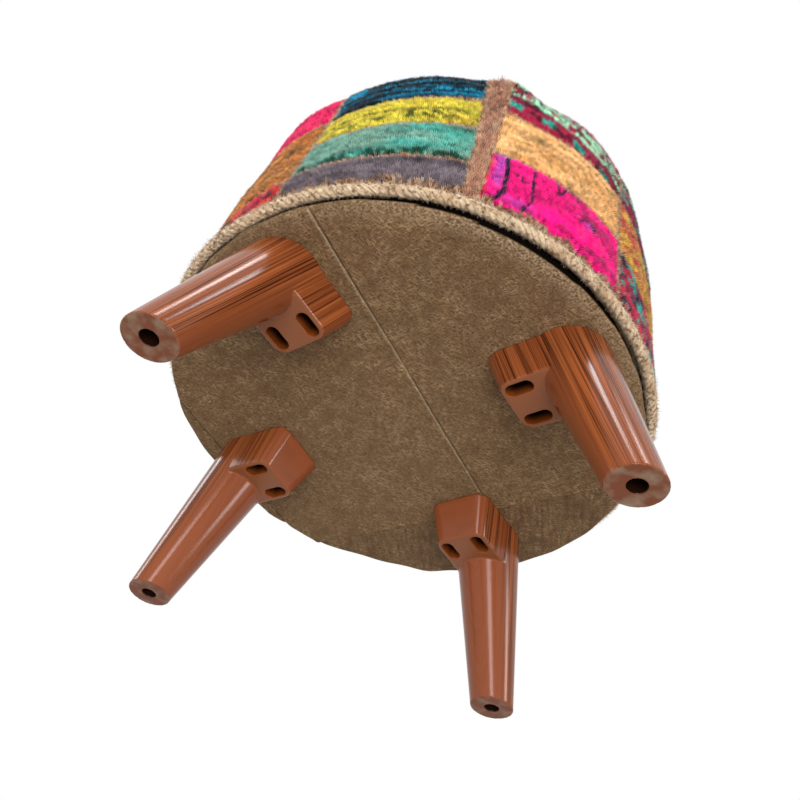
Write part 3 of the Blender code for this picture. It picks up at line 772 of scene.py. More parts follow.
def pile_tree():
    """Stands a tuft of two yarn ends on every knot of a mesh, leaning as the nap lies."""
    yarn = {"Pile Height": "Float", "Yarn Radius": "Float", "Nap Lean": "Vector"}
    clumps = {"Clump Size": "Float", "Clump Lean": "Float", "Seed": "Int"}
    tree, add, given = new_tree("knotted_pile", {**yarn, **clumps})
    end = yarn_end(add, given["Yarn Radius"], given["Pile Height"])
    tuft = add("GeometryNodeJoinGeometry")
    for side, height in ((-1, 1.0), (1, 0.88)):
        place = {"Translation": (0.0004 * side, 0.0002 * side, 0.0), "Scale": (1.0, 1.0, height)}
        lean = {"Rotation": (0.08 * side, 0.16 * side, 0.8 * side)}
        fill(tuft, {0: add("GeometryNodeTransform", {"Geometry": end, **place, **lean})})
    loose = add("GeometryNodeInputNamedAttribute", {"Name": "stray"}, data_type="FLOAT")
    stray = strays(add, given["Seed"], loose)
    fine = add("ShaderNodeMath", {0: 1.0, 1: given["Clump Size"]}, operation="DIVIDE")
    spot = add("GeometryNodeInputPosition")
    clump = add("ShaderNodeTexNoise", {"Vector": spot, "Scale": fine, "Detail": 1.0}).outputs["Color"]
    clump = add("ShaderNodeVectorMath", {0: clump, 1: (0.5, 0.5, 0.5)}, operation="SUBTRACT")
    clump = add("ShaderNodeVectorMath", {0: clump, "Scale": given["Clump Lean"]}, operation="SCALE")
    lean = add("GeometryNodeInputNormal")
    for part in (given["Nap Lean"], stray, clump):
        lean = add("ShaderNodeVectorMath", {0: lean, 1: part}, operation="ADD")
    nap = add("GeometryNodeInputNamedAttribute", {"Name": "nap"}, data_type="FLOAT")
    size = add("ShaderNodeCombineXYZ", {"X": 1.0, "Y": 1.0, "Z": nap})
    close_tree(add, given, given["Geometry"], planted(add, given["Geometry"], tuft, lean, size))
    return tree


def grown(source, tree, values):
    """The plain mesh that a node tree grows from a source mesh."""
    seedbed = put_in(tree.name, source)
    step = seedbed.modifiers.new(tree.name, "NODES")
    step.node_group = tree
    for socket in tree.interface.items_tree:
        if socket.in_out == "INPUT" and socket.name in values:
            step[socket.identifier] = values[socket.name]
    return evaluated(seedbed)


def add_marks(mesh, **marks):
    """Writes named values or colours on a mesh's points."""
    for name, values in marks.items():
        kind, field = ("FLOAT", "value") if values.ndim == 1 else ("FLOAT_COLOR", "color")
        if values.ndim == 2:
            values = np.concatenate([values, np.ones((len(values), 1))], axis=1)
        mesh.attributes.new(name, kind, "POINT").data.foreach_set(field, values.ravel())


# Wool: soft and matt, painted darker towards the roots as shade between the tufts, with a little sheen where
# the nap turns from the light.
# Single fibres are too fine to show, so they are drawn as strands about a millimetre wide.
FIBRE = 0.0011
wool, add, shader = new_material(
    "hand_knotted_wool", Roughness=0.92, Sheen_Weight=0.1, Sheen_Roughness=0.5, Specular_IOR_Level=0.1
)
dye = add("ShaderNodeAttribute", attribute_name="dye").outputs["Color"]
tip = add("ShaderNodeAttribute", attribute_name="tip").outputs["Fac"]
place = add("ShaderNodeTexCoord").outputs["Object"]
strand = add("ShaderNodeTexNoise", {"Vector": place, "Scale": 1 / FIBRE, "Detail": 2.0})
tone = add("ShaderNodeMapRange", {"Value": strand, "To Min": 0.7, "To Max": 1.3})
# Painted shade and light: each yarn end darker at its root and lighter at its tip
painted_root_shade = add("ShaderNodeMapRange", {"Value": tip, "To Min": 0.42, "To Max": 1.28})
tone = add("ShaderNodeMath", {0: tone, 1: painted_root_shade}, operation="MULTIPLY")
fill(shader, {"Base Color": add("ShaderNodeVectorMath", {0: dye, "Scale": tone}, operation="SCALE")})
knotted_pile = pile_tree()


def add_pile(node, slot, ground, sizes, **marks):
    """A piece of knotted pile on a ground mesh, in place of a CAD node."""
    add_marks(ground, **marks)
    mesh = grown(ground, knotted_pile, {**sizes, "Material": wool})
    add_piece(f"{node}_pile", mesh, wool, node)


pushes = puffed(patches)
for node in dict.fromkeys(name for name, _, _, _ in patches):
    gathered = []
    first = 0
    for (name, shape, patch_wool, seed), push in zip(patches, pushes):
        if name == node:
            *marks, size = knots(shape, patch_wool, push, seed)
            gathered.append((*marks, grid_faces(*size, first)))
            first += len(marks[0])
    points, dyes, naps, loose, faces = (np.concatenate(part) for part in zip(*gathered))
    lean = (0.0, 0.0, NAP_LEAN) if node.startswith("side") else (0.0, NAP_LEAN, 0.0)
    sizes = {"Pile Height": PILE, "Yarn Radius": YARN_RADIUS, "Nap Lean": lean}
    sizes |= {"Clump Size": CLUMP_SIZE, "Clump Lean": CLUMP_LEAN, "Seed": first}
    add_pile(node, "carpet", mesh_of(node, points, (), faces), sizes, dye=dyes, nap=naps, stray=loose)

# Closing band: the gap where the cover is drawn shut at the front, whipped over with brown wool.
# It has no weave of its own, only a short ragged pile that fans over the edges of its neighbours.

BAND_RECESS = 0.0010
BAND_PILE = 0.0058
BAND_YARN_RADIUS = 0.0007
BAND_NAP_SPREAD = (0.7, 1.4)
BAND_CLUMP_SIZE = 0.005
BAND_CLUMP_LEAN = 1.5
BAND_BRIM = 5
BAND_RIGHT = (COLUMN_STARTS[0] + 360, COLUMN_STARTS[0] + 360)
band_surface, band_width, *_ = strip_on_side(BAND_LEFT, BAND_RIGHT, (0.0, 0.0), (TO_TOP, TO_TOP))
across, up = round(band_width / KNOT), round(SIDE_RUN / KNOT)
u, v = grid(across, up)
rng = np.random.default_rng(5)
points, out, _ = band_surface(u, v + rng.uniform(-KNOT_STRAYS, KNOT_STRAYS, v.shape) / up)
points = points - out * (BAND_RECESS + PILE_SUNK)
x, y = u * band_width * 1000, v * SIDE_RUN * 1000
tone = np.broadcast_to(linear("#b9836a"), (*u.shape, 3))
tone = blend(tone, linear("#a8765c"), above(mottle(x, y, 3, 6, 31), 0.6, 0.4) * 0.8)
tone = blend(tone, linear("#dcae8c"), above(mottle(x, y, 2.4, 5, 32), 0.66, 0.3) * 0.7)
tone = blend(tone, INK, hump(x, 6, 2.2) * hump(y, 158, 3))
tone = blend(tone, IVORY, hump(x, 10, 1.8) * hump(y, 128, 2.6))
tone = tone * (rng.uniform(*KNOT_SHADES, u.shape) * (0.6 + 0.9 * mottle(x, y, 3.4, 3.4, 33)))[..., None]
brim = unit(np.minimum(x, band_width * 1000 - x) / BAND_BRIM)
nap = rng.uniform(*BAND_NAP_SPREAD, u.shape) * (1 + 0.4 * above(v, 0.93, 0.1)) * (0.6 + 0.4 * brim)
marks = {"dye": tone.reshape(-1, 3), "nap": nap.ravel(), "stray": 0.6 + 0.6 * brim.ravel()}
ground = mesh_of("closing_band", points.reshape(-1, 3), (), grid_faces(across, up, 0))
sizes = {"Pile Height": BAND_PILE, "Yarn Radius": BAND_YARN_RADIUS, "Nap Lean": (0.0, 0.0, -0.1)}
sizes |= {"Clump Size": BAND_CLUMP_SIZE, "Clump Lean": BAND_CLUMP_LEAN, "Seed": 9}
add_pile("closing_band", "band", ground, sizes, **marks)

# Rim rope: three jute strands laid right-handed into a rope, sewn round the lower edge of the cover
# in one closed turn. Jute is a coarse straw coloured fibre that sheds stray hairs.

ROPE_CIRCLE = 0.2125
ROPE_LEVEL = 0.1628
STRAND_RADIUS = 0.0023
STRAND_SIDES = 9
LAY_RADIUS = 0.0023
LAY_LENGTH = 0.017
LUMP_SIZE = 0.0028
LUMP_HEIGHT = 0.0020
ROPE_STEPS = 1000
HAIRS_PER_AREA = 560000.0
HAIR_LENGTH = 0.0036
HAIR_RADIUS = 0.00025
HAIR_LOOSE = 1.3
ROPE_LENGTH = 2 * math.pi * ROPE_CIRCLE


def rope_tree():
    """Winds three uneven strands round a closed path, each with a round section."""
    sockets = ("Strand Radius", "Lay Radius", "Turns", "Lump Size", "Lump Height")
    tree, add, given = new_tree("laid_rope", dict.fromkeys(sockets, "Float"))
    path = add("GeometryNodeMeshToCurve", {"Mesh": given["Geometry"]})
    section = {"Resolution": STRAND_SIDES, "Radius": given["Strand Radius"]}
    section = add("GeometryNodeCurvePrimitiveCircle", section)
    share = add("GeometryNodeSplineParameter").outputs["Factor"]
    marked = {}
    for name, curve in (("around", section), ("along", path)):
        mark = {"Geometry": curve, "Name": name, "Value": share}
        marked[name] = add("GeometryNodeStoreNamedAttribute", mark, data_type="FLOAT", domain="POINT")
    spot = add("GeometryNodeInputPosition")
    level = add("ShaderNodeVectorMath", {0: spot, 1: (1, 1, 0)}, operation="MULTIPLY")
    radial = add("ShaderNodeVectorMath", {0: level}, operation="NORMALIZE")
    turns = add("ShaderNodeMath", {0: share, 1: given["Turns"]}, operation="MULTIPLY")
    strands = add("GeometryNodeJoinGeometry")
    for strand in range(3):
        turn = add("ShaderNodeMath", {0: turns, 1: strand / 3}, operation="ADD")
        angle = add("ShaderNodeMath", {0: turn, 1: -2 * math.pi}, operation="MULTIPLY")
        cosine = add("ShaderNodeMath", {0: angle}, operation="COSINE")
        sine = add("ShaderNodeMath", {0: angle}, operation="SINE")
        aside = add("ShaderNodeVectorMath", {0: radial, "Scale": cosine}, operation="SCALE")
        lift = add("ShaderNodeCombineXYZ", {"Z": sine})
        offset = add("ShaderNodeVectorMath", {0: aside, 1: lift}, operation="ADD")
        offset = add("ShaderNodeVectorMath", {0: offset, "Scale": given["Lay Radius"]}, operation="SCALE")
        wound = add("GeometryNodeSetPosition", {"Geometry": marked["along"], "Offset": offset})
        swept = add("GeometryNodeCurveToMesh", {"Curve": wound, "Profile Curve": marked["around"]})
        fill(strands, {0: swept})
    fine = add("ShaderNodeMath", {0: 1.0, 1: given["Lump Size"]}, operation="DIVIDE")
    lump = add("ShaderNodeTexNoise", {"Vector": spot, "Scale": fine, "Detail": 2.0})
    rise = add("ShaderNodeMath", {0: lump, 1: 0.5}, operation="SUBTRACT")
    rise = add("ShaderNodeMath", {0: rise, 1: given["Lump Height"]}, operation="MULTIPLY")
    normal = add("GeometryNodeInputNormal")
    out = add("ShaderNodeVectorMath", {0: normal, "Scale": rise}, operation="SCALE")
    close_tree(add, given, add("GeometryNodeSetPosition", {"Geometry": strands, "Offset": out}))
    return tree


def hair_tree():
    """Scatters loose hairs over a mesh, and gives them with the mesh."""
    sockets = ("Hairs Per Area", "Hair Length", "Hair Radius", "Loose")
    tree, add, given = new_tree("loose_hairs", {**dict.fromkeys(sockets, "Float"), "Seed": "Int"})
    scatter = {"Mesh": given["Geometry"], "Density": given["Hairs Per Area"], "Seed": given["Seed"]}
    roots = add("GeometryNodeDistributePointsOnFaces", scatter).outputs
    hair = yarn_end(add, given["Hair Radius"], given["Hair Length"])
    stray = strays(add, given["Seed"], given["Loose"])
    lean = add("ShaderNodeVectorMath", {0: roots["Normal"], 1: stray}, operation="ADD")
    lengths = {2: 0.35, 3: 1.1, "Seed": given["Seed"]}
    size = add("FunctionNodeRandomValue", lengths, data_type="FLOAT").outputs[1]
    close_tree(add, given, given["Geometry"], planted(add, roots["Points"], hair, lean, size))
    return tree


def graded(add, vector, scale, detail, low, high, least=0.0):
    """Soft random tones, from least where a noise is low to 1 where it is high."""
    noise = add("ShaderNodeTexNoise", {"Vector": vector, "Scale": scale, "Detail": detail})
    return add("ShaderNodeMapRange", {"Value": noise, "From Min": low, "From Max": high, "To Min": least})


# Jute: matt straw fibres that run along each strand, with worn and darker stretches.
# Single fibres are too fine to show, so they are drawn about a millimetre wide.
JUTE_FIBRES = (ROPE_LENGTH / 0.007, 2 * math.pi * STRAND_RADIUS / 0.0011, 1.0)
JUTE_WEAR = 0.030
JUTE_CLUMP = 0.0032
jute, add, shader = new_material(
    "jute_yarn", Roughness=0.9, Sheen_Weight=0.2, Sheen_Roughness=0.6, Specular_IOR_Level=0.2
)
along = add("ShaderNodeAttribute", attribute_name="along").outputs["Fac"]
around = add("ShaderNodeAttribute", attribute_name="around").outputs["Fac"]
place = add("ShaderNodeTexCoord").outputs["Object"]
lie = add("ShaderNodeCombineXYZ", {"X": along, "Y": around})
lie = add("ShaderNodeMapping", {"Vector": lie, "Scale": JUTE_FIBRES})
fibres = add("ShaderNodeTexNoise", {"Vector": lie, "Scale": 1.0, "Detail": 3.0})
streak = add("ShaderNodeMapRange", {"Value": fibres, "From Min": 0.3, "From Max": 0.7})
worn = graded(add, place, 1 / JUTE_WEAR, 2.0, 0.5, 0.75)
dark = graded(add, place, 1 / JUTE_CLUMP, 3.0, 0.50, 0.66)
straw = painted(add, "#b08c66", (streak, "#f2dfc0"), (worn, "#b8946e"), (dark, "#80603f"))
bump = add("ShaderNodeBump", {"Height": fibres, "Distance": 0.0005})
fill(shader, {"Base Color": straw, "Normal": bump})

turn = np.linspace(0, 2 * math.pi, ROPE_STEPS, endpoint=False)
wander = sag(np.degrees(turn)) + 0.35 * (mottle(np.degrees(turn), 0 * turn, 9, 1, 41) - 0.5)
ring = polar(ROPE_CIRCLE - SAG_IN * wander, turn, ROPE_LEVEL - SAG_DOWN * wander)
path = mesh_of("rope_path", ring, [(i, (i + 1) % ROPE_STEPS) for i in range(ROPE_STEPS)], ())
lay_turns = float(round(ROPE_LENGTH / LAY_LENGTH))
sizes = {"Strand Radius": STRAND_RADIUS, "Lay Radius": LAY_RADIUS, "Turns": lay_turns}
sizes |= {"Lump Size": LUMP_SIZE, "Lump Height": LUMP_HEIGHT, "Material": jute}
rope = grown(path, rope_tree(), sizes)
sizes = {"Hairs Per Area": HAIRS_PER_AREA, "Hair Length": HAIR_LENGTH, "Hair Radius": HAIR_RADIUS}
sizes |= {"Loose": HAIR_LOOSE, "Seed": 3, "Material": jute}
add_piece("rim_rope_laid", grown(rope, hair_tree(), sizes), jute, "rim_rope")

# Base cloth: taupe upholstery velvet, seamed from four offcuts, stretched over the base board with a
# soft rolled rim that lies a little to the back. Its edge runs up out of sight behind the rope, where the
# cloth is painted near black as painted shadow in the gap between rope and rim.

BASE_LEVEL = 0.1503
BASE_RADIUS = 0.2084
BASE_SHIFT = 0.0040
BOARD_RADIUS = 0.2044
BASE_ROUND = 0.0035
SHADE_SHEET_RADIUS = 0.2077
CLOTH = 0.0012
RING_STEP = 0.004
CLOTH_SIDES = 180
RIM_WAVES = ((0.0036, 69, 5), (0.0030, 102, 5), (0.0026, 117, 2.5), (-0.0012, 90, 6))
GAP_SHADE_LEVEL = 0.0078
GAP_SHADE_DROP = 0.0072
WORN_INSET = (0.005, 0.006)
FLAT_LIFT = 0.002
RIPPLE = 0.0006
THREAD_REACH = 0.0011
SEAM_GAP = 0.0002

# The section above the rim's round, and the sheet above that which is painted black as shadow, each point as
# an inset and a lift
RIM_ABOVE_ROUND = ((0.0, 0.0050), (0.0003, 0.0062), (0.0012, 0.0072))
SHADE_SHEET_ABOVE_RIM = ((0.0015, 0.0085), (0.0016, 0.0120))

# Where the painted shadow of the gap reaches lower down the rim and where the rim is worn, each as an azimuth
# and a spread in radians
GAP_SHADE_DROP_AT = (-1.30, 0.85)
WORN_AT = (-1.40, 0.80)

# The seams, each as an azimuth and a distance from the middle, and where points are set beside one
CENTRE_SEAM = (-40.8, 0.0344)
BACK_SEAM = (48.3, 0.1284)
CORNER_SEAM = (137.9, 0.1908)
SEAM_LINES = (-0.007, -0.0045, -0.003, -0.0018, -0.0008, 0.0008, 0.0018, 0.003, 0.0045, 0.007)


def facing(azimuth):
    """The level direction of an azimuth."""
    turn = math.radians(azimuth)
    return Vector((math.cos(turn), math.sin(turn), 0.0))


def rim_radius(turn):
    """The rim lies to the back, and its loose far edge is wavy."""
    radius = BASE_RADIUS + BASE_SHIFT * min(max(1.6 * (math.sin(turn) + 0.25), -1), 1)
    radius += sum(swell(math.degrees(turn), *wave) for wave in RIM_WAVES)
    radius += 0.0010 * math.sin(11 * turn) * math.sin(17 * turn + 1)
    return max(radius, BOARD_RADIUS + CLOTH)


def rim_section(radius):
    """The cloth's section from near its middle to its top edge, where its rim has this radius."""
    flat = radius - BASE_ROUND
    section = [(flat * share, 0.0) for share in np.linspace(0, 1, round(BASE_RADIUS / RING_STEP))[1:]]
    for turn in np.linspace(0, math.pi / 2, 5)[1:]:
        section.append((flat + BASE_ROUND * math.sin(turn), BASE_ROUND * (1 - math.cos(turn))))
    section += [(max(radius - inset, BOARD_RADIUS), lift) for inset, lift in RIM_ABOVE_ROUND]
    inner = min(radius, SHADE_SHEET_RADIUS)
    return section + [(max(inner - inset, BOARD_RADIUS), lift) for inset, lift in SHADE_SHEET_ABOVE_RIM]


def cut(shape, seam, offset, side=1, **kept):
    """Cuts a mesh along a line beside a seam."""
    way = facing(seam[0])
    every = [*shape.verts, *shape.edges, *shape.faces]
    bmesh.ops.bisect_plane(shape, geom=every, plane_co=way * (seam[1] + offset), plane_no=way * side, **kept)


def cloth_disc():
    """A disc of cloth with its rim turned up, its points also set along each seam."""
    shape = bmesh.new()
    centre = shape.verts.new((0, 0, BASE_LEVEL))
    spokes = []
    for turn in np.linspace(0, 2 * math.pi, CLOTH_SIDES, endpoint=False):
        across, along = math.cos(turn), math.sin(turn)
        section = rim_section(rim_radius(turn))
        spokes.append([shape.verts.new((r * across, r * along, BASE_LEVEL + lift)) for r, lift in section])
    for here, after in zip(spokes, spokes[1:] + spokes[:1]):
        shape.faces.new((centre, after[0], here[0]))
        for step in range(len(here) - 1):
            shape.faces.new((here[step], after[step], after[step + 1], here[step + 1]))
    for seam in (CENTRE_SEAM, BACK_SEAM, CORNER_SEAM):
        for offset in SEAM_LINES:
            cut(shape, seam, offset)
    return shape


def seam_lift(seam, side, away):
    """How far the cloth by a seam is drawn in, at a distance from it."""
    if seam == BACK_SEAM and side > 0:
        return 0.0012 * hump(away, 0, 0.0006) - 0.0013 * hump(away, 0, 0.0042)
    if seam == BACK_SEAM:
        return 0.0008 * hump(away, 0, 0.0050)
    return 0.0013 * hump(away, 0, 0.0012) - 0.0005 * hump(away, 0.003, 0.002)


def cloth_piece(name, cuts):
    """The part of the disc behind every seam, each with the side it is cut from, drawn in along them."""
    shape = cloth_disc()
    for seam, side in cuts:
        cut(shape, seam, -side * SEAM_GAP, side, clear_outer=True)
    lining, thread, worn = [], [], []
    for vert in shape.verts:
        x, y, z = vert.co
        turn = math.atan2(y, x)
        # Above this lift the cloth is painted black as the shadow in the gap under the rope, lower at the
        # front
        shade_from = GAP_SHADE_LEVEL - GAP_SHADE_DROP * hump(turn, *GAP_SHADE_DROP_AT)
        lining.append(1.0 if z > BASE_LEVEL + shade_from else 0.0)
        thread.append(0.0)
        inset = rim_radius(turn) - math.hypot(x, y)
        worn.append(hump(inset, *WORN_INSET) * hump(turn, *WORN_AT))
        if z >= BASE_LEVEL + FLAT_LIFT:
            continue
        vert.co.z += RIPPLE * math.sin(31 * x + 17 * y) * math.sin(23 * y - 11 * x)
        for seam, side in cuts:
            away = abs(vert.co.dot(facing(seam[0])) - seam[1])
            vert.co.z += seam_lift(seam, side, away)
            # Beside the centre seam the left piece is marked for its pale thread, and the right piece for a
            # painted shadow in the seam's crease
            if seam == CENTRE_SEAM and away < THREAD_REACH:
                thread[-1] = 1.0 if side > 0 else -1.0
    bmesh.ops.recalc_face_normals(shape, faces=shape.faces)
    if sum(face.normal.z * face.calc_area() for face in shape.faces) > 0:
        bmesh.ops.reverse_faces(shape, faces=shape.faces)
    mesh = bpy.data.meshes.new(name)
    shape.to_mesh(mesh)
    shape.free()
    # The back piece gets darker streaks: painted shade where its nap lies the other way to the light
    loose = np.full(len(worn), 0.5 if name == "base_cloth_back" else 0.0)
    add_marks(mesh, lining=np.array(lining), thread=np.array(thread), worn=np.array(worn), loose=loose)
    mesh.shade_smooth()
    return mesh


# Velvet: cut pile too short to see singly, so the nap is drawn as strokes a few millimetres long
NAP_STROKE = (1 / 0.0046, 1 / 0.0009, 1 / 0.002)
BACK_SHADE_STREAK = (1 / 0.004, 1 / 0.030, 1 / 0.01)
velvet, add, shader = new_material(
    "taupe_velvet", Roughness=0.85, Sheen_Weight=0.3, Sheen_Roughness=0.35, Sheen_Tint="#c8a882"
)
fill(shader, {"Specular IOR Level": 0.15})
place = add("ShaderNodeTexCoord").outputs["Object"]
marks = ("lining", "thread", "worn", "loose")
marks = {name: add("ShaderNodeAttribute", attribute_name=name).outputs["Fac"] for name in marks}
noises = {}
for name, angle, seed, scale, low, high in (
    ("nap", 0.7, 0.0, NAP_STROKE, 0.50, 0.65),
    ("crossed", -0.5, 5.0, NAP_STROKE, 0.50, 0.65),
    ("grain", 0.0, 0.0, [1 / 0.0011] * 3, 0.34, 0.66),
    ("brushed", 0.0, 9.0, [1 / 0.012] * 3, 0.20, 0.80),
    ("tint", 0.0, 3.0, [1 / 0.045] * 3, 0.35, 0.65),
    ("streak", 0.35, 7.0, BACK_SHADE_STREAK, 0.40, 0.62),
    ("fuzz", 0.2, 1.0, [1 / 0.0017] * 3, 0.44, 0.64),
):
    turned = {"Vector": place, "Location": (seed, seed, 0), "Rotation": (0, 0, angle)}
    lie = add("ShaderNodeMapping", turned)
    lie = add("ShaderNodeVectorMath", {0: lie, 1: scale}, operation="MULTIPLY")
    noises[name] = graded(add, lie, 1.0, 2.0, low, high)
nap = add("ShaderNodeMath", {0: noises["nap"], 1: noises["crossed"]}, operation="MAXIMUM")
stitch = add("ShaderNodeMapRange", {"Value": noises["nap"], "To Min": 0.35, "To Max": 0.85})
# Painted shadow: a dark line in the crease on the right of the centre seam
painted_crease_shadow = add("ShaderNodeMath", {0: marks["thread"], 1: -0.8}, operation="MULTIPLY")
layers = [(noises["tint"], "#503524"), (noises["grain"], "#806242"), (painted_crease_shadow, "#2c2016")]
# Over the ground: light nap strokes, darker streaks on the back piece as painted shade, pale worn fuzz and
# the pale thread
for share, extent, colour in (
    (nap, noises["brushed"], "#b49670"),
    (noises["streak"], marks["loose"], "#4a3626"),
    (noises["fuzz"], marks["worn"], "#b89f80"),
    (stitch, marks["thread"], "#bda78c"),
):
    layers.append((add("ShaderNodeMath", {0: share, 1: extent}, operation="MULTIPLY"), colour))
bump = add("ShaderNodeBump", {"Height": nap, "Distance": 0.0005})
fill(shader, {"Base Color": painted(add, "#46321f", *layers), "Normal": bump})
# Painted shadow: the cloth up in the gap under the rope is a near black diffuse
black = add("ShaderNodeBsdfDiffuse", {"Color": "#0c0806"})
velvet_and_gap_shade = add("ShaderNodeMixShader", {0: marks["lining"], 1: shader, 2: black})
fill(velvet.node_tree.nodes["Material Output"], {"Surface": velvet_and_gap_shade})

cloth_cuts = {
    "base_cloth_back": [(BACK_SEAM, -1)],
    "base_cloth_corner": [(CORNER_SEAM, -1)],
    "base_cloth_left": [(CENTRE_SEAM, 1), (BACK_SEAM, 1), (CORNER_SEAM, 1)],
    "base_cloth_right": [(CENTRE_SEAM, -1), (BACK_SEAM, 1)],
}
for node, cuts in cloth_cuts.items():
    mesh = cloth_piece(node, cuts)
    piece = add_piece(f"{node}_velvet", mesh, velvet, node)
    weight = piece.modifiers.new("cloth_thickness", "SOLIDIFY")
    weight.thickness = CLOTH
    weight.offset = -1

# Legs: hollow mouldings of brown plastic with a wood grain printed on and lacquered, each a leaning
# cone with a bracket that two screws hold through long slots. The end faces are bare plastic.

LEG_HEIGHT = 0.150
LEG_TOP_RADIUS = 0.0315
LEG_SPLAY = 0.0485
FOOT_RADIUS = 0.0186
FOOT_CIRCLE = 0.2135
FOOT_EDGE = 0.0012
FOOT_HOLE_RADIUS = 0.0062
FOOT_HOLE_DEPTH = 0.022
BRACKET_HEIGHT = 0.038
BRACKET_REACH = 0.061
BRACKET_CORNER = 0.013
BRACKET_CORNER_DRAFT = 0.003
BRACKET_END_DRAFT = 0.0145
BRACKET_SIDE_DRAFT = 0.0067
BRACKET_INSET = 0.0004
BRACKET_EDGE = 0.0025
CREASE = 0.0012
SLOT_LENGTH = 0.022
SLOT_WIDTH = 0.0105
SLOT_SPACING = 0.0306
SLOT_INSET = 0.0145
SLOT_FLOOR = 0.008
SLOT_LIP = 0.0012
CAVITY_EDGE = 0.001
SCREW_HOLE_RADIUS = 0.0025
LEG_VOXEL = 0.0011
LEG_ROUNDS = 8
LEG_LONGEST_STEP = 0.0008
LEG_AZIMUTHS = {"front_left": 224.4, "front_right": 313.3, "back_right": 44.1, "back_left": 138.1}
LEG_TOP_CENTRE = FOOT_CIRCLE - LEG_SPLAY
SLOT_CENTRE = LEG_TOP_CENTRE - BRACKET_REACH + BRACKET_END_DRAFT + SLOT_INSET


def joined(a, b, fillet):
    """Both solids, with a fillet where they meet."""
    return np.minimum(a, b) - np.maximum(fillet - abs(a - b), 0) ** 2 / fillet / 4


def common(a, b, edge):
    """What two solids share, with an eased edge."""
    return -joined(-a, -b, edge)


def cone_axis(z):
    """How far out the middle of the leaning cone is at a height."""
    return FOOT_CIRCLE - LEG_SPLAY * z / LEG_HEIGHT


def leg_cavities(x, y, z):
    """How far a point is outside the leg's slots and holes."""
    cavity = common(np.hypot(x - FOOT_CIRCLE, y) - FOOT_HOLE_RADIUS, z - FOOT_HOLE_DEPTH, CAVITY_EDGE)
    for side in (-SLOT_SPACING / 2, SLOT_SPACING / 2):
        run = np.maximum(abs(x - SLOT_CENTRE) - (SLOT_LENGTH - SLOT_WIDTH) / 2, 0)
        slot = common(np.hypot(run, y - side) - SLOT_WIDTH / 2, z - LEG_HEIGHT + SLOT_FLOOR, CAVITY_EDGE)
        slot = np.maximum(slot, LEG_HEIGHT / 2 - z)
        screw = np.maximum(np.hypot(x - SLOT_CENTRE, y - side) - SCREW_HOLE_RADIUS, LEG_HEIGHT * 0.9 - z)
        cavity = np.minimum.reduce([cavity, slot, screw])
    return cavity


def leg_solid(points):
    """How far points are outside a leg that stands in the +X direction."""
    x, y, z = points.T
    radius = FOOT_RADIUS + (LEG_TOP_RADIUS - FOOT_RADIUS) * z / LEG_HEIGHT
    axis = cone_axis(z)
    cone = common(np.hypot(x - axis, y) - radius, abs(z - LEG_HEIGHT / 2) - LEG_HEIGHT / 2, FOOT_EDGE)
    drop = (LEG_HEIGHT - z) / BRACKET_HEIGHT
    inner = LEG_TOP_CENTRE - BRACKET_REACH + BRACKET_END_DRAFT * drop
    outer = axis + BRACKET_CORNER
    corner = BRACKET_CORNER - BRACKET_CORNER_DRAFT * drop
    run = abs(x - (inner + outer) / 2) - (outer - inner) / 2 + corner
    side = abs(y) - LEG_TOP_RADIUS + BRACKET_INSET + BRACKET_SIDE_DRAFT * drop + corner
    plan = np.hypot(np.maximum(run, 0), np.maximum(side, 0)) + np.minimum(np.maximum(run, side), 0)
    level = abs(z - LEG_HEIGHT + BRACKET_HEIGHT / 2) - BRACKET_HEIGHT / 2
    bracket = common(plan - corner, level, BRACKET_EDGE)
    return common(joined(cone, bracket, CREASE), -leg_cavities(x, y, z), SLOT_LIP)


def slope(points):
    """The direction in which the distance from the leg grows."""
    step = 0.00005
    parts = [leg_solid(points + step * axis) - leg_solid(points - step * axis) for axis in np.eye(3)]
    return np.stack(parts, axis=1) / (2 * step)


# The solid's own skin, divided finely and drawn onto the leg with its fillets and eased edges
blank = remeshed("leg_front_left", -math.radians(LEG_AZIMUTHS["front_left"]), LEG_VOXEL)
points = places_of(blank)
for _ in range(LEG_ROUNDS):
    away = slope(points)
    shift = leg_solid(points) / np.maximum((away**2).sum(axis=1), 0.2)
    points = points - away * np.clip(shift, -LEG_LONGEST_STEP, LEG_LONGEST_STEP)[:, None]
away = slope(points)
away /= np.linalg.norm(away, axis=1, keepdims=True)

# Where the print runs, and where it is missing: under the bracket, on the foot, in slots and holes
x, y, z = points.T
behind = cone_axis(z) - x
quarter = LEG_TOP_RADIUS * math.pi / 2
girth = np.where(behind < 0, LEG_TOP_RADIUS * np.arctan2(y, -behind), np.sign(y) * (quarter + behind))
grain = np.stack([girth, z, 0 * z], axis=1)
slot_rise = z - LEG_HEIGHT + BRACKET_HEIGHT
leg_marks = {
    "printed": 1 - 0.9 * above(-away[:, 0], 0.4, 0.35),
    "under": above(-away[:, 2], 0.72, 0.15),
    "foot": above(-away[:, 2], 0.72, 0.15) * above(0.004 - z, 0, 0.001),
    "cavity": above(-leg_cavities(x, y, z), -0.0006, 0.0008),
}
# Painted shade: deep in the foot hole and the slots
leg_marks["hole"] = leg_marks["cavity"] * np.maximum(above(0.05 - z, 0, 0.01), above(slot_rise, 0.007, 0.009))

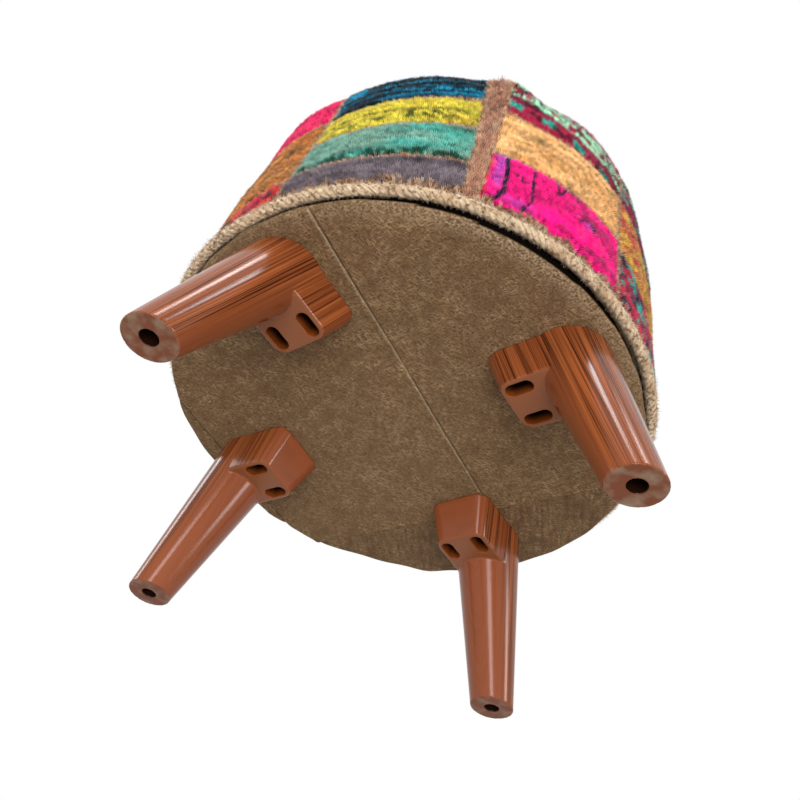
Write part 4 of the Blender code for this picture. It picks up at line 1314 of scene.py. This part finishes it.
# Printed plastic: fine dark lines along a red brown ground with a clear gloss, plain brown on the
# faces that the print does not reach, scuffed grey round the rim of the foot, and painted shade in the
# slots and holes, near black deep inside them
GRAIN_LINE = (1 / 0.0007, 1 / 0.18, 1.0)
GRAIN_BROAD = (1 / 0.0045, 1 / 0.25, 1.0)
SCUFF = 0.012
lacquer, add, shader = new_material("printed_glossy_plastic", IOR=1.49, Specular_IOR_Level=0.26)
marks = {name: add("ShaderNodeAttribute", attribute_name=name).outputs["Fac"] for name in leg_marks}
lie = add("ShaderNodeAttribute", attribute_name="grain").outputs["Vector"]
figures = []
for scale, low, high, least in ((GRAIN_LINE, 0.48, 0.58, 0.0), (GRAIN_BROAD, 0.36, 0.60, 0.5)):
    figure = add("ShaderNodeVectorMath", {0: lie, 1: scale}, operation="MULTIPLY")
    figures.append(graded(add, figure, 1.0, 2.0, low, high, least))
lines = add("ShaderNodeMath", {0: figures[0], 1: figures[1]}, operation="MULTIPLY")
wood = painted(add, "#b96838", (figures[1], "#884522"), (lines, "#32150a"))
place = add("ShaderNodeTexCoord").outputs["Object"]
scuffed = painted(add, "#6c3a22", (graded(add, place, 1 / SCUFF, 4.0, 0.44, 0.76), "#8a7460"))
# Painted shade: slots and holes a darker brown, near black deep inside
shaded = painted(add, "#7a3c16", (marks["hole"], "#1f0f08"))
layers = ((marks["printed"], wood), (marks["under"], "#804a2a"), (marks["foot"], scuffed))
dull = add("ShaderNodeMath", {0: marks["under"], 1: marks["foot"]}, operation="ADD")
rough = add("ShaderNodeMapRange", {"Value": dull, "From Max": 2.0, "To Min": 0.18, "To Max": 0.54})
colour = painted(add, "#8f4c2c", *layers, (marks["cavity"], shaded))
fill(shader, {"Base Color": colour, "Roughness": rough})

for corner, azimuth in LEG_AZIMUTHS.items():
    mesh = blank.copy()
    mesh.vertices.foreach_set("co", points.ravel())
    mesh.attributes.new("grain", "FLOAT_VECTOR", "POINT").data.foreach_set("vector", grain.ravel())
    add_marks(mesh, **leg_marks)
    mesh.shade_smooth()
    turn = Matrix.Rotation(math.radians(azimuth), 4, "Z")
    mesh.transform(turn)
    mesh.normals_split_custom_set_from_vertices((away @ np.array(turn.to_3x3()).T).tolist())
    add_piece(f"leg_{corner}_moulded", mesh, lacquer, f"leg_{corner}")

# Leg screws: zinc plated pan head wood screws, sunk in the slots and driven up into the drum floor.
# Zinc plate is a pale blue grey metal, dulled by the driver.

ZINC_SPANGLE = 0.002
zinc, add, shader = new_material("zinc_plated_steel", Metallic=1.0)
place = add("ShaderNodeTexCoord").outputs["Object"]
dull = add("ShaderNodeTexNoise", {"Vector": place, "Scale": 1 / ZINC_SPANGLE, "Detail": 3.0})
rough = add("ShaderNodeMapRange", {"Value": dull, "To Min": 0.25, "To Max": 0.5})
fill(shader, {"Base Color": painted(add, "#c9ccd0", (dull, "#a9a48f")), "Roughness": rough})
dress(zinc, *[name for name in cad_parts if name.startswith("leg_screw")])

# Stage: a pale floor under the feet that is clear from below, because the photograph looks up at the
# pouf's underside, with soft lamps, narrow tubes that streak the legs, and a white backdrop all round.

FLOOR_DROP = 0.0008
FLOOR_HALF = 6.0
scene = bpy.context.scene
scene.view_settings.view_transform = "Standard"
corners = [(x * FLOOR_HALF, y * FLOOR_HALF, -FLOOR_DROP) for x, y in ((-1, -1), (1, -1), (1, 1), (-1, 1))]
floor = put_in("floor", mesh_of("floor", corners, (), [(0, 1, 2, 3)]))
paint, add, shader = new_material("pale_floor_paint", Roughness=0.9, Base_Color="#f3f1ed")
back = add("ShaderNodeNewGeometry").outputs["Backfacing"]
path = add("ShaderNodeLightPath").outputs
front = add("ShaderNodeMath", {0: 1.0, 1: back}, operation="SUBTRACT")
seen = add("ShaderNodeMath", {0: front, 1: path["Is Camera Ray"]}, operation="MULTIPLY")
one_way = add("ShaderNodeMixShader", {0: seen, 1: add("ShaderNodeBsdfTransparent"), 2: shader})
fill(paint.node_tree.nodes["Material Output"], {"Surface": one_way})
floor.data.materials.append(paint)

world = bpy.data.worlds.new("white_studio")
scene.world = world
world.use_nodes = True
add = partial(add_node, world.node_tree)
path = add("ShaderNodeLightPath").outputs
shown = path["Is Camera Ray"]
for ray in ("Is Glossy Ray", "Is Transmission Ray"):
    shown = add("ShaderNodeMath", {0: shown, 1: path[ray]}, operation="MAXIMUM")
level = add("ShaderNodeMapRange", {"Value": shown, "To Min": 0.5, "To Max": 1.0})
fill(world.node_tree.nodes["Background"], {"Color": "#ffffff", "Strength": level})

# Rectangular lamps aimed at the pouf: a soft one never shows, and one that shines shows only in gloss
AIM = Vector((0.0, 0.0, 0.2))
for name, place, size, power, shines in (
    ("front_lamp", (-0.7, -1.45, 1.5), (1.1, 1.1), 22, False),
    ("low_lamp", (0.05, -1.4, -0.8), (1.2, 0.8), 24, False),
    ("ceiling_lamp", (0.5, 0.6, 2.3), (1.4, 1.4), 12, False),
    ("back_lamp", (0.3, 1.9, 0.8), (1.2, 1.2), 12, False),
    ("left_strip", (-0.36, -1.18, 1.73), (0.22, 0.5), 6, True),
    ("right_strip", (0.53, -1.24, 1.61), (0.22, 0.5), 5, True),
    ("right_tube", (1.57, -0.87, 0.2), (0.4, 0.9), 14, True),
    ("left_tube", (-0.52, -1.72, -0.35), (0.5, 0.9), 15, True),
    ("side_tube", (-1.9, 0.3, 0.9), (0.45, 0.9), 11, True),
):
    light = bpy.data.lights.new(name, "AREA")
    light.shape = "RECTANGLE"
    light.size, light.size_y = size
    light.energy = power
    lamp = put_in(name, light)
    lamp.location = place
    lamp.rotation_euler = (AIM - Vector(place)).to_track_quat("-Z", "Y").to_euler()
    lamp.visible_camera = False
    lamp.visible_glossy = shines
    lamp.visible_diffuse = not shines

camera = bpy.data.cameras.new("camera")
camera.sensor_width = 36.0
camera.lens = 32.625
eye = put_in("camera", camera)
eye.location = (0.0065, -0.4458, -0.3064)
eye.rotation_euler = [math.radians(turn) for turn in (138.870, -12.508, -12.663)]
scene.camera = eye
